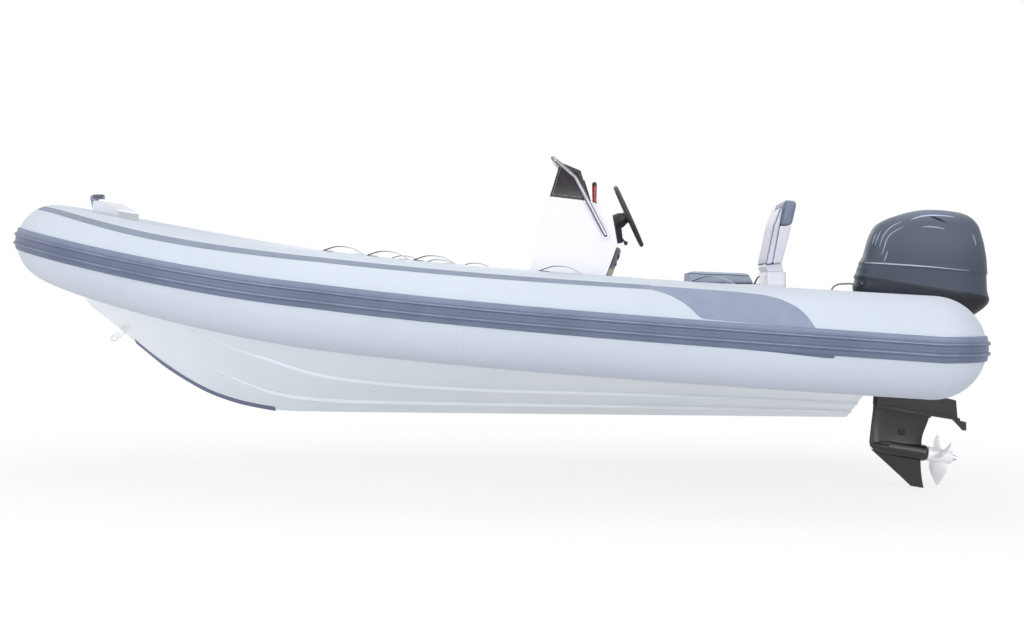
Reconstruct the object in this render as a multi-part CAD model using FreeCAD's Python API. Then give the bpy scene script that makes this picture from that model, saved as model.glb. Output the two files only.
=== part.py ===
"""Rigid inflatable boat with a centre console and an outboard engine.

Millimetres.  +X runs to the bow, +Y to port, +Z up.  The origin lies on the
water plane, on the centre plane, halfway along the boat.
"""
import math
import os

import FreeCAD
import Part

V = FreeCAD.Vector
os.makedirs("parts", exist_ok=True)

# Fits.
SEAT = 0.3                # play against a curved face of the same body
SKIN_SEAT = 0.6           # play of the rub strake on the tube
LID_GAP = 0.5             # play under a closed lid
CLEAR = 6.0               # room round a moving part
RUNNING = 0.05            # play of a pin or shaft in its hole

# Tubes.
TUBE_R = 238.0
BOW_R = 203.0             # the bow tube is slimmer, down to this on the centre plane
HALF_SPACING = 860.0      # tube axis from the centre plane, amidships and aft
BOW_AXIS_X = 2272.0       # tube axis on the centre plane at the bow
BOW_AXIS_Z = 672.0
SHOULDER_X = 600.0        # where the tubes start to turn in
SHOULDER_Z = 358.0
SHEER_SLOPE = 0.12        # rise of the tube axis at the shoulder
AFT_X = -2242.0           # centre of the rounded end
AFT_Z = 143.0

# Rub strake and handles.
STRAKE_H = 116.0
STRAKE_T = 9.0
STRAKE_RISE = 24.0        # centre of the strake above the tube axis, forward
RIB_H = 16.0
RIB_T = 9.0
RIB_OFF = 24.0
HANDLE_SPAN = 170.0
HANDLE_RISE = 28.0
HANDLE_W = 22.0
HANDLE_PLACES = (520.0, 305.0, 80.0, -522.0, -1235.0)

# Hull and transom.
TRANSOM_X = -2000.0       # aft face
TRANSOM_T = 50.0
TRANSOM_TOP_Z = 248.0     # in the engine cut-out
KEEL_Z = -260.0
SOLE_Z = 100.0            # top of the cockpit sole
SOLE_T = 25.0
SIDE_WALL = 60.0          # hull side beside the sole, forward
GUARD_T = 4.0             # keel guard strip
GUARD_W = 26.0
EYE_R = 9.0               # hole of the bow and stern eyes
EYE_T = 8.0

# Bow locker.
LOCKER_AFT_X = 1300.0
LOCKER_WALL = 12.0
LOCKER_TOP_Z = BOW_AXIS_Z - 72.0
LID_T = 26.0
STEP_L = 140.0
STEP_HALF_W = 150.0

# Console, measured from the foot of its aft face.
CONSOLE_X = -738.0
CONSOLE_L = 487.0
CONSOLE_H = 787.0
CONSOLE_HALF_W = 310.0
CONSOLE_WALL = 8.0
CONSOLE_ROUND = 18.0
SCREEN_H = 175.0
SCREEN_T = 5.0
RAIL_R = 11.0
WHEEL_R = 166.0
WHEEL_RIM_R = 11.0
WHEEL_OFF = 85.0          # wheel centre from the dash
HUB_BACK = 16.0           # back of the wheel's hub from its centre

# Helm seat.
SEAT_GAP = 417.0          # console to seat
SEAT_BASE_L = 505.0
SEAT_HALF_W = 240.0
SEAT_BASE_H = 338.0
SEAT_WALL = 12.0
CUSHION_L = 345.0
CUSHION_T = 65.0

# Outboard engine, in its own upright frame with the tilt axis at the origin.
TRIM_DEG = -9.0
TILT_FORWARD = 10.0       # tilt axis ahead of the transom's aft face
TILT_ABOVE = 45.0         # and above its top
STEER_AFT = 105.0
CLAMP_Y = 105.0
CLAMP_T = 22.0
PROP_R = 155.0
PROP_PITCH = 330.0
SHAFT_DOWN = 665.0
HUB_R = 38.0
SHAFT_R = 11.0
BULLET_R = 42.0


def rounded(shape, radius, direction=None):
    """Fillet the straight edges of a shape, all or those along one direction."""
    edges = []
    for edge in shape.Edges:
        if edge.Curve.TypeId != "Part::GeomLine" or edge.Length < 2.2 * radius:
            continue
        run = edge.tangentAt(edge.FirstParameter)
        if direction is None or abs(abs(run.dot(direction)) - 1.0) < 1e-6:
            edges.append(edge)
    return shape.makeFillet(radius, edges)


def box(x0, x1, y0, y1, z0, z1):
    return Part.makeBox(x1 - x0, y1 - y0, z1 - z0, V(x0, y0, z0))


def side_plate(points, y0, y1):
    """Prism from a closed outline in X and Z, between two Y values."""
    wire = Part.makePolygon([V(x, y0, z) for x, z in points + points[:1]])
    return Part.Face(wire).extrude(V(0, y1 - y0, 0))


def plan_plate(points, z0, z1):
    """Prism from a closed outline in X and Y, between two Z values."""
    wire = Part.makePolygon([V(x, y, z0) for x, y in points + points[:1]])
    return Part.Face(wire).extrude(V(0, 0, z1 - z0))


def cross_plate(points, x0, x1):
    """Prism from a closed outline in Y and Z, between two X values."""
    wire = Part.makePolygon([V(x0, y, z) for y, z in points + points[:1]])
    return Part.Face(wire).extrude(V(x1 - x0, 0, 0))


def both_sides(points):
    """Closed symmetric plan outline from its port half, aft to forward."""
    return points + [(x, -y) for x, y in reversed(points)]


def fuse(shapes):
    body = shapes[0]
    for other in shapes[1:]:
        body = body.fuse(other)
    return body.removeSplitter()


def cut(shape, tools):
    for tool in tools:
        shape = shape.cut(tool)
    return shape


def mirrored(shape):
    return shape.mirror(V(0, 0, 0), V(0, 1, 0))


def cylinder_y(x, z, y0, y1, radius):
    return Part.makeCylinder(radius, y1 - y0, V(x, y0, z), V(0, 1, 0))


def revolved(profile, base, axis, side):
    """Turn a closed profile of (along, out) pairs about an axis."""
    points = [base + axis * a + side * r for a, r in profile]
    face = Part.Face(Part.makePolygon(points + points[:1]))
    return face.revolve(base, axis, 360.0)


def bent_bar(points, radius, bend):
    """Round bar along straight runs joined by arcs."""
    edges = []
    start = points[0]
    for before, corner, after in zip(points[:-2], points[1:-1], points[2:]):
        a = (before - corner).normalize()
        b = (after - corner).normalize()
        half = 0.5 * a.getAngle(b)
        reach = bend / math.tan(half)
        centre = corner + (a + b).normalize() * (bend / math.sin(half))
        middle = centre + (corner - centre).normalize() * bend
        edges.append(Part.makeLine(start, corner + a * reach))
        edges.append(Part.Arc(corner + a * reach, middle, corner + b * reach).toShape())
        start = corner + b * reach
    edges.append(Part.makeLine(start, points[-1]))
    along = points[1] - points[0]
    ring = Part.Wire(Part.makeCircle(radius, points[0], along))
    return Part.Wire(edges).makePipeShell([ring], True, False)


def slice_wire(z, front, rear, half_w, power):
    """Level outline of a moulded housing: a squared ellipse."""
    middle = 0.5 * (front + rear)
    reach = 0.5 * (front - rear)
    points = []
    for i in range(24):
        a = 2.0 * math.pi * i / 24
        c, s = math.cos(a), math.sin(a)
        x = middle + reach * math.copysign(abs(c) ** (2.0 / power), c)
        y = half_w * math.copysign(abs(s) ** (2.0 / power), s)
        points.append(V(x, y, z))
    curve = Part.BSplineCurve()
    curve.interpolate(points, PeriodicFlag=True)
    return Part.Wire(curve.toShape())


def moulded(slices, power):
    """Housing through level outlines, each (z, front x, rear x, half width)."""
    return Part.makeLoft([slice_wire(*row, power) for row in slices], True, False)


# Tubes.
def bezier(poles):
    curve = Part.BezierCurve()
    curve.setPoles(poles)
    return curve


def aft_axis():
    """Axis of the port tube from its rounded end to the shoulder."""
    y = HALF_SPACING
    run = SHOULDER_X - AFT_X
    back = 0.28 * run
    return bezier([V(AFT_X, y, AFT_Z), V(AFT_X + 0.33 * run, y, AFT_Z + 0.25 * (SHOULDER_Z - AFT_Z)),
                   V(SHOULDER_X - back, y, SHOULDER_Z - back * SHEER_SLOPE),
                   V(SHOULDER_X, y, SHOULDER_Z)])


def bow_axis():
    """Axis of the port half of the bow tube."""
    y = HALF_SPACING
    ahead = 0.44 * (BOW_AXIS_X - SHOULDER_X)
    return bezier([V(SHOULDER_X, y, SHOULDER_Z), V(SHOULDER_X + ahead, y, SHOULDER_Z + ahead * SHEER_SLOPE),
                   V(BOW_AXIS_X, 0.43 * y, BOW_AXIS_Z), V(BOW_AXIS_X, 0, BOW_AXIS_Z)])


AFT_AXIS = aft_axis()
BOW_AXIS = bow_axis()


def axis_at(x):
    """Point of the port tube axis at a given X, and its direction."""
    curve = AFT_AXIS if x < SHOULDER_X else BOW_AXIS
    low, high = 0.0, 1.0
    for _ in range(40):
        middle = 0.5 * (low + high)
        if curve.value(middle).x < x:
            low = middle
        else:
            high = middle
    return curve.value(low), curve.tangent(low)[0]


BOW_STEPS = 12


def radius_at(t, last):
    """Tube radius at a share of an axis, even from TUBE_R to the last radius."""
    return TUBE_R + (last - TUBE_R) * t


def swept_tube(curve, radius):
    ring = Part.Wire(Part.makeCircle(radius, curve.value(0.0), curve.tangent(0.0)[0]))
    pipe = Part.BRepOffsetAPI.MakePipeShell(Part.Wire(curve.toShape()))
    pipe.setFrenetMode(False)
    pipe.add(ring, False, False)
    pipe.build()
    pipe.makeSolid()
    return pipe.shape()


def side_tube(extra=0.0):
    """Port tube with its rounded aft end."""
    sweep = swept_tube(AFT_AXIS, TUBE_R + extra)
    return sweep.fuse(Part.makeSphere(TUBE_R + extra, AFT_AXIS.value(0.0)))


def bow_tube(extra=0.0):
    """Bow tube, which narrows towards the centre plane."""
    rings = []
    for i in range(BOW_STEPS + 1):
        t = i / float(BOW_STEPS)
        run = BOW_AXIS.tangent(t)[0]
        circle = Part.Circle(BOW_AXIS.value(t), run, radius_at(t, BOW_R) + extra)
        circle.XAxis = V(-run.y, run.x, 0)
        rings.append(Part.Wire(circle.toShape()))
    rings += [mirrored(ring) for ring in reversed(rings[:-1])]
    return Part.makeLoft(rings, True, False)


def tube_tools(extra):
    """The three tubes, a little larger, to trim what lies against them."""
    port = side_tube(extra)
    return [port, mirrored(port), bow_tube(extra)]


# Rub strake: a two ribbed band on the outer side of the tubes.
def strake_section(centre, out, rise, radius, stretch):
    """Outline in the upright plane that holds OUT, around a tube axis point."""
    half = STRAKE_H / 2.0
    rib0 = RIB_OFF - RIB_H / 2.0
    rib1 = RIB_OFF + RIB_H / 2.0
    top = [(half, 0.4), (half - 4.0, 1.0), (rib1, 1.0), (rib1 - 4.0, 2.0), (rib0 + 4.0, 2.0),
           (rib0, 1.0)]
    outline = top + [(-h, k) for h, k in reversed(top)]
    outline += [(half * i / 3.0, 0.0) for i in range(-3, 4)]
    points = []
    for height, layer in outline:
        z = rise + height
        skin = (radius + SKIN_SEAT) * math.sqrt(1.0 - (z / (radius * stretch)) ** 2)
        thick = STRAKE_T * min(layer, 1.0) + RIB_T * max(layer - 1.0, 0.0)
        points.append(centre + out * (skin + thick) + V(0, 0, z))
    return Part.makePolygon(points + points[:1])


def strake_along(curve, count, rise0, rise1, last):
    rings = []
    for i in range(count + 1):
        t = i / float(count)
        run = curve.tangent(t)[0]
        level = math.hypot(run.x, run.y)
        out = V(-run.y / level, run.x / level, 0)
        rise = rise0 + (rise1 - rise0) * t
        rings.append(strake_section(curve.value(t), out, rise, radius_at(t, last), 1.0 / level))
    return rings


def side_strake():
    """Port band, wrapped round the aft end to its tip."""
    rings = []
    for i in range(10):
        turn = math.radians(84.0 * (10 - i) / 10.0)
        out = V(-math.sin(turn), math.cos(turn), 0)
        rings.append(strake_section(AFT_AXIS.value(0.0), out, 0.0, TUBE_R, 1.0))
    rings += strake_along(AFT_AXIS, 16, 0.0, STRAKE_RISE, TUBE_R)
    return Part.makeLoft(rings, True, False)


def bow_strake():
    rings = strake_along(BOW_AXIS, 14, STRAKE_RISE, STRAKE_RISE, BOW_R)
    rings += [mirrored(ring) for ring in reversed(rings[:-1])]
    return Part.makeLoft(rings, True, False)


def tube_top(x):
    """Point on top of the port tube, over the axis point at X."""
    centre, run = axis_at(x)
    return centre + V(0, 1, 0).cross(run) * -TUBE_R


def tube_handles(tools):
    """Arched carrying handles on top of the port tube."""
    handles = []
    for place in HANDLE_PLACES:
        feet = [tube_top(place + end * 0.5 * HANDLE_SPAN) for end in (-1.0, 1.0)]
        run = (feet[1] - feet[0]).normalize()
        up = V(0, 1, 0).cross(run) * -1.0
        top = (feet[0] + feet[1]) * 0.5
        outer, inner = [], []
        for i in range(13):
            s = i / 6.0 - 1.0
            lift = HANDLE_RISE * (1.0 - s * s)
            outer.append(top + run * (0.5 * HANDLE_SPAN * s) + up * (lift + 1.0))
            inner.append(top + run * (0.44 * HANDLE_SPAN * s) + up * (lift - 5.0))
        arcs = []
        for points in (outer, list(reversed(inner))):
            curve = Part.BSplineCurve()
            curve.interpolate(points)
            arcs.append(curve.toShape())
        ends = [Part.makeLine(outer[-1], inner[-1]), Part.makeLine(inner[0], outer[0])]
        face = Part.Face(Part.Wire([arcs[0], ends[0], arcs[1], ends[1]]))
        face.translate(V(0, -0.5 * HANDLE_W, 0))
        strap = face.extrude(V(0, HANDLE_W, 0))
        for foot in feet:
            strap = strap.fuse(Part.makeCylinder(0.75 * HANDLE_W, 9.0, foot - up * 6.0, up))
        handles.append(cut(strap, tools))
    return handles


# Hull: each row is a share of the hull length, then keel height, chine breadth
# and height, edge breadth and height, and for two spray strakes the breadth
# and width, as shares of the stem height or of the tube spacing.
STATIONS = [
    [0.000, 0.000, 0.837, 0.237, 0.919, 0.431, 0.174, 0.046, 0.384, 0.046],
    [0.144, 0.001, 0.837, 0.290, 0.919, 0.453, 0.174, 0.046, 0.384, 0.046],
    [0.288, 0.002, 0.831, 0.335, 0.919, 0.485, 0.174, 0.046, 0.384, 0.046],
    [0.432, 0.003, 0.820, 0.355, 0.919, 0.539, 0.172, 0.046, 0.390, 0.046],
    [0.552, 0.004, 0.802, 0.387, 0.913, 0.582, 0.165, 0.046, 0.407, 0.044],
    [0.647, 0.005, 0.779, 0.433, 0.895, 0.647, 0.156, 0.042, 0.442, 0.040],
    [0.719, 0.009, 0.744, 0.499, 0.866, 0.695, 0.174, 0.030, 0.512, 0.030],
    [0.767, 0.038, 0.698, 0.523, 0.820, 0.717, 0.233, 0.014, 0.547, 0.016],
    [0.815, 0.099, 0.634, 0.571, 0.744, 0.754, 0.279, 0.004, 0.558, 0.005],
    [0.875, 0.242, 0.517, 0.652, 0.616, 0.819, 0.244, 0.002, 0.465, 0.002],
    [0.923, 0.407, 0.401, 0.711, 0.500, 0.873, 0.198, 0.002, 0.360, 0.002],
    [0.959, 0.533, 0.302, 0.754, 0.395, 0.905, 0.151, 0.002, 0.273, 0.002],
    [0.983, 0.641, 0.209, 0.787, 0.291, 0.927, 0.105, 0.002, 0.186, 0.002],
    [1.000, 0.738, 0.128, 0.819, 0.198, 0.938, 0.058, 0.002, 0.110, 0.002],
]
STEM_X = BOW_AXIS_X - 0.5 * BOW_R
STEM_H = BOW_AXIS_Z - KEEL_Z
HULL_L = STEM_X - TRANSOM_X


def station(share):
    """Row of the table at any share of the length, by smooth monotone steps."""
    rows = STATIONS
    i = max(k for k in range(len(rows) - 1) if rows[k][0] <= share)
    a, b = rows[i], rows[i + 1]
    before = rows[max(i - 1, 0)]
    after = rows[min(i + 2, len(rows) - 1)]
    span = b[0] - a[0]
    u = (share - a[0]) / span
    row = [share]
    for k in range(1, len(a)):
        chord = (b[k] - a[k]) / span
        left = (a[k] - before[k]) / (a[0] - before[0]) if i else chord
        right = (after[k] - b[k]) / (after[0] - b[0]) if after is not b else chord
        m0 = 0.0 if left * chord <= 0 else 2.0 * left * chord / (left + chord)
        m1 = 0.0 if right * chord <= 0 else 2.0 * right * chord / (right + chord)
        row.append(a[k] * (1 - u) ** 2 * (1 + 2 * u) + b[k] * u * u * (3 - 2 * u)
                   + span * m0 * u * (1 - u) ** 2 - span * m1 * u * u * (1 - u))
    return row


def hull_lines(share):
    """Real sizes of one station: X, keel Z, bottom slope and the row itself."""
    row = station(share)
    slope = (row[3] - row[1]) * STEM_H / (row[2] * HALF_SPACING)
    return TRANSOM_X + share * HULL_L, KEEL_Z + row[1] * STEM_H, slope, row


def half_breadth(x, z):
    """Half breadth of the hull bottom at a height."""
    _, keel, slope, _ = hull_lines((x - TRANSOM_X) / HULL_L)
    return (z - keel) / slope


def hull_section(share):
    x, keel, slope, row = hull_lines(share)
    port = [(0.0, keel)]
    for y, w in ((row[6], row[7]), (row[8], row[9])):
        y *= HALF_SPACING
        w *= HALF_SPACING
        inner = keel + slope * (y - w)
        port += [(y - w, inner), (y, inner + 0.15 * w * slope), (y, keel + slope * y)]
    port.append((row[2] * HALF_SPACING, KEEL_Z + row[3] * STEM_H))
    port.append((row[4] * HALF_SPACING, KEEL_Z + row[5] * STEM_H))
    ring = [V(x, y, z) for y, z in port] + [V(x, -y, z) for y, z in reversed(port[1:])]
    return Part.makePolygon(ring + ring[:1])


SLICES = 28
DECK_UNDER = SOLE_Z - SOLE_T
WELL_X = TRANSOM_X + TRANSOM_T
LOCKER_BASE_Z = BOW_AXIS_Z - 252.0
LOCKER_FRONT_X = BOW_AXIS_X - BOW_R - 39.0
STEP_X = LOCKER_FRONT_X - STEP_L


def cockpit_plan():
    """Inside of the cockpit, kept within the hull at the sole."""
    widest = 0.756 * HALF_SPACING
    half = [(WELL_X, widest)]
    for i in range(7):
        x = -200.0 + (LOCKER_AFT_X + 200.0) * i / 6.0
        half.append((x, min(widest, half_breadth(x, DECK_UNDER) - SIDE_WALL)))
    return both_sides(half)


def locker_hollow():
    """Space in the bow locker and the hull under it."""
    front = STEP_X - 160.0
    aft_half = half_breadth(LOCKER_AFT_X, 0.5 * (DECK_UNDER + LOCKER_BASE_Z)) - 2.0 * SIDE_WALL
    front_half = 0.42 * aft_half
    half = [(LOCKER_AFT_X + LOCKER_WALL, aft_half), (front, front_half)]
    return plan_plate(both_sides(half), DECK_UNDER + 125.0, LOCKER_TOP_Z + 1.0)


def hull_loft():
    return Part.makeLoft([hull_section(i / float(SLICES)) for i in range(SLICES + 1)], True, False)


def hull_body(loft, tools):
    """Solid V hull with the cockpit and the bow locker let into it."""
    wide = 2.0 * HALF_SPACING
    body = loft.cut(plan_plate(cockpit_plan(), DECK_UNDER, 2.0 * BOW_AXIS_Z))
    body = body.cut(box(TRANSOM_X - 50, WELL_X, -wide, wide, DECK_UNDER, 2.0 * BOW_AXIS_Z))
    body = body.cut(box(LOCKER_AFT_X, 2.0 * BOW_AXIS_X, -wide, wide, LOCKER_BASE_Z, 2.0 * BOW_AXIS_Z))
    return cut(body.cut(locker_hollow()), tools)


def keel_guard(loft):
    """Strip over the stem and the fore part of the keel."""
    rings = []
    for i in range(15):
        share = 0.735 + 0.188 * i / 14.0
        x, keel, slope, _ = hull_lines(share)
        edge = keel + slope * GUARD_W
        half = [(0.0, keel - 1.6 * GUARD_T), (GUARD_W, edge - GUARD_T), (GUARD_W, edge + GUARD_T)]
        ring = [V(x, y, z) for y, z in half] + [V(x, 0, keel + GUARD_T)]
        ring += [V(x, -y, z) for y, z in reversed(half[1:])]
        rings.append(Part.makePolygon(ring + ring[:1]))
    return Part.makeLoft(rings, True, False).cut(loft)


def transom_board(tools):
    """Board with a cut-out for the engine."""
    side = 0.9 * HALF_SPACING
    shoulder = TRANSOM_TOP_Z + 110.0
    outline = [(-side, DECK_UNDER), (-side, shoulder), (-350, shoulder), (-260, TRANSOM_TOP_Z),
               (260, TRANSOM_TOP_Z), (350, shoulder), (side, shoulder), (side, DECK_UNDER)]
    return cut(cross_plate(outline, TRANSOM_X, WELL_X), tools)


EYE_REACH = 26.0          # hole from the foot of an eye
EYE_LEAN = 42.0
BOW_EYE = V(STEM_X - 215.0, 0, 0.45 * STEM_H + KEEL_Z)
STERN_EYE_Z = 0.75 * TRANSOM_TOP_Z
STERN_PAD_T = 6.0


def eye(reach):
    """Flat upright eye that points along +X from the origin, with a cross hole."""
    tongue = fuse([box(-reach, EYE_REACH, -EYE_T / 2, EYE_T / 2, -20, 20),
                   cylinder_y(EYE_REACH, 0, -EYE_T / 2, EYE_T / 2, 20)])
    return tongue.cut(cylinder_y(EYE_REACH, 0, -EYE_T, EYE_T, EYE_R))


def bow_eye(loft):
    body = eye(40.0)
    body.rotate(V(0, 0, 0), V(0, 1, 0), EYE_LEAN)
    body.translate(BOW_EYE)
    return body.cut(loft)


def bow_eye_place():
    return BOW_EYE + FreeCAD.Rotation(V(0, 1, 0), EYE_LEAN).multVec(V(EYE_REACH, 0, 0))


def stern_eye(side):
    """Level eye on a pad, with an upright hole clear of the tubes."""
    pad = rounded(box(-STERN_PAD_T, 0, -32, 32, -24, 24), 2.5, V(1, 0, 0))
    tongue = eye(0.0)
    tongue.rotate(V(0, 0, 0), V(1, 0, 0), 90)
    tongue.rotate(V(0, 0, 0), V(0, 1, 0), 180)
    tongue.translate(V(-STERN_PAD_T, 0, 0))
    body = fuse([pad, tongue])
    body.translate(V(TRANSOM_X, side * 0.5 * HALF_SPACING, STERN_EYE_Z))
    return body


def stern_eye_place(side):
    return V(TRANSOM_X - STERN_PAD_T - EYE_REACH, side * 0.5 * HALF_SPACING, STERN_EYE_Z)


# Hinges: the fixed leaf holds the outer knuckles and the pin.
KNUCKLE_R = 7.0
PIN_R = 3.0
HINGE_HALF_W = 36.0
LEAF_T = 3.0
LEAF_L = 30.0
HINGE_OUT = KNUCKLE_R + 1.0      # axis from the face that carries the fixed leaf
HINGE_UP = 4.0                   # axis above the edge of that face


def fixed_leaf(x, z, y, face_x):
    """Leaf on an upright face, with two knuckles on an axis along Y."""
    third = HINGE_HALF_W / 3.0
    parts = [cylinder_y(x, z, y - HINGE_HALF_W, y + HINGE_HALF_W, PIN_R)]
    inner = face_x + math.copysign(LEAF_T + 0.5, x - face_x)
    for y0, y1 in ((y - HINGE_HALF_W, y - third), (y + third, y + HINGE_HALF_W)):
        parts.append(cylinder_y(x, z, y0, y1, KNUCKLE_R))
        parts.append(box(min(face_x, inner), max(face_x, inner), y0, y1, z - LEAF_L, z - HINGE_UP))
    return fuse(parts)


def moving_leaf(x, z, y, along):
    """Knuckle and leaf, the leaf reaching from the axis along a direction in X and Z."""
    half = HINGE_HALF_W / 3.0 - 0.5
    knuckle = cylinder_y(x, z, y - half, y + half, KNUCKLE_R)
    side = V(-along.z, 0, along.x) * (0.5 * LEAF_T)
    far = along * (LEAF_L + HINGE_OUT)
    start = V(x, 0, z)
    corners = [start + side, start + far + side, start + far - side, start - side]
    leaf = side_plate([(p.x, p.z) for p in corners], y - half, y + half)
    return fuse([knuckle, leaf]).cut(cylinder_y(x, z, y - half - 1, y + half + 1, PIN_R + RUNNING))


def hinged(board, leaves):
    """Board with its moving leaves let in and joined to it."""
    return fuse([cut(board, leaves)] + leaves)


# Bow locker.
def locker_plan(inset):
    """Port half between the tube axes, aft to forward."""
    half = []
    for i in range(6):
        x = LOCKER_AFT_X + (LOCKER_FRONT_X - LOCKER_AFT_X) * i / 5.0
        half.append((x, axis_at(x)[0].y - inset))
    return half


STEP_Z = BOW_AXIS_Z + 221.0
STEP_ROUND = 14.0
SHELF_Z = BOW_AXIS_Z + 153.0
SHELF_L = 66.0


def bow_locker(tools):
    top = plan_plate(both_sides(locker_plan(0.0)), LOCKER_BASE_Z, LOCKER_TOP_Z)
    front = LOCKER_FRONT_X + SHELF_L
    step = side_plate([(STEP_X, LOCKER_TOP_Z - 1.0), (front, LOCKER_TOP_Z - 1.0), (front, SHELF_Z),
                       (LOCKER_FRONT_X, SHELF_Z), (LOCKER_FRONT_X, STEP_Z), (STEP_X + 0.64 * STEP_L, STEP_Z - 5),
                       (STEP_X, STEP_Z - 53)], -STEP_HALF_W, STEP_HALF_W)
    step = rounded(step, STEP_ROUND, V(0, 1, 0))
    body = cut(top, tools).cut(locker_hollow())
    return fuse([body, cut(step, tools)])


def locker_lid(wide_tools):
    half = [(x, y) for x, y in locker_plan(0.24 * HALF_SPACING) if x < STEP_X - 20]
    last = STEP_X - 14.0
    half.append((last, axis_at(last)[0].y - 0.24 * HALF_SPACING))
    half[0] = (LOCKER_AFT_X + 8.0, half[0][1])
    z = LOCKER_TOP_Z + LID_GAP
    return cut(plan_plate(both_sides(half), z, z + LID_T), wide_tools)


def bow_bracket():
    """Leaning rope guide with a cap, on the shelf ahead of the bow step."""
    x = LOCKER_FRONT_X + STEP_ROUND + 3.0
    z = SHELF_Z
    guide = side_plate([(x, z), (x + 32, z), (x + 53, z + 84), (x + 53, z + 98), (x + 40, z + 108),
                        (x - 12, z + 104), (x - 18, z + 96), (x - 18, z + 86), (x + 20, z + 84)], -16, 16)
    foot = rounded(box(x - 1, x + 34, -34, 34, z, z + 5), 2.0)
    return fuse([guide, foot])


# Console.
def console_point(along, up):
    return (CONSOLE_X + along * CONSOLE_L, SOLE_Z + up * CONSOLE_H)


CONSOLE = [console_point(*p) for p in
           ((0.0, 0.0), (1.0, 0.0), (0.587, 1.0), (0.158, 0.967), (0.053, 0.943), (-0.072, 0.889),
            (-0.129, 0.686), (0.0, 0.470))]


def console_block():
    block = side_plate(CONSOLE, -CONSOLE_HALF_W, CONSOLE_HALF_W)
    return rounded(block, CONSOLE_ROUND, V(0, 1, 0))


def console_inside():
    wire = Part.makePolygon([V(x, 0, z) for x, z in CONSOLE + CONSOLE[:1]])
    face = Part.Face(wire).makeOffset2D(-CONSOLE_WALL, 2)
    half = CONSOLE_HALF_W - CONSOLE_WALL
    inner = face.extrude(V(0, 2.0 * half, 0))
    inner.translate(V(0, -half, 0))
    return inner


def slope_frame(low, high, share):
    """Point on a sloping face, its upward run and its outward normal."""
    a, b = V(low[0], 0, low[1]), V(high[0], 0, high[1])
    run = (b - a).normalize()
    return a + (b - a) * share, run, V(0, 1, 0).cross(run) * -1.0


FLAP_HALF_W = 230.0
FLAP_T = 20.0


def flap_panel(depth0, depth1, margin, half_w):
    """Board on the sloping aft face, between two heights above it."""
    low, run, out = slope_frame(CONSOLE[7], CONSOLE[6], 0.0)
    reach = (V(CONSOLE[6][0], 0, CONSOLE[6][1]) - low).Length
    corners = [low + run * a + out * d for a, d in
               ((margin, depth0), (reach - margin, depth0), (reach - margin, depth1), (margin, depth1))]
    return side_plate([(p.x, p.z) for p in corners], -half_w, half_w)


def console():
    shell = console_block().cut(console_inside())
    return shell.cut(flap_panel(-3.0 * CONSOLE_WALL, CONSOLE_WALL, 26.0, FLAP_HALF_W - 20.0))


FLAP_MARGIN = KNUCKLE_R + 5.0
FLAP_ROUND = 5.0


def flap():
    return rounded(flap_panel(LID_GAP, FLAP_T, FLAP_MARGIN, FLAP_HALF_W), FLAP_ROUND)


def flap_axis():
    """Place of the flap's hinge axis, and the direction of its leaf."""
    low, run, out = slope_frame(CONSOLE[7], CONSOLE[6], 0.0)
    return low + run * (FLAP_MARGIN - KNUCKLE_R - 1.0) + out * (KNUCKLE_R + LID_GAP), run


def windscreen(block):
    """Three sided tinted screen, open aft."""
    front, aft = CONSOLE[2], CONSOLE[3]
    lean = 56.0
    outline = [(front[0] + 2, front[1] - 20), (front[0] - lean, front[1] + SCREEN_H),
               (front[0] - lean - 104, front[1] + 0.75 * SCREEN_H), (aft[0] - 6, aft[1] - 20)]
    inner = [(x - 1.2 * SCREEN_T, z) for x, z in outline[:2]]
    inner += [(inner[1][0] - 200, inner[1][1] + 60), (aft[0] - 60, aft[1] - 60)]
    half = CONSOLE_HALF_W - 10.0
    outer = rounded(side_plate(outline, -half, half), 12.0, V(0, 1, 0))
    inside = side_plate(inner, SCREEN_T - half, half - SCREEN_T)
    return cut(outer, [inside, block])


def rail():
    """Grab rail hoop round the screen."""
    y = CONSOLE_HALF_W + RAIL_R
    front, aft = CONSOLE[2], CONSOLE[4]
    side = [V(aft[0] - 28, y, aft[1] - 155), V(front[0] - 133, y, front[1] + 96),
            V(front[0] - 16, y, front[1] + 199)]
    half = bent_bar(side + [V(p.x, -p.y, p.z) for p in reversed(side)], RAIL_R, 36.0)
    feet = []
    for s in (-1.0, 1.0):
        foot = V(side[0].x, s * y, side[0].z)
        feet.append(Part.makeCylinder(RAIL_R + 6.0, RAIL_R + 1.0, foot - V(0, s * (RAIL_R + 1.0), 0),
                                      V(0, s, 0)))
        feet.append(Part.makeSphere(RAIL_R, foot))
    return fuse([half] + feet).cut(box(-2000, 2000, -CONSOLE_HALF_W, CONSOLE_HALF_W, 0, SOLE_Z + CONSOLE_H))


LIGHT_X = CONSOLE[3][0] - 14.0


def light_stick(profile):
    base = V(LIGHT_X, 0, CONSOLE[3][1] - 10.0)
    return revolved(profile, base, V(0, 0, 1), V(1, 0, 0))


def wheel_place():
    """Centre and axis of the wheel, from the dash face."""
    foot, _, _ = slope_frame(CONSOLE[5], CONSOLE[6], 0.22)
    axis = V(-0.9106, 0, 0.4133)
    return foot, foot + axis * WHEEL_OFF, axis


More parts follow.
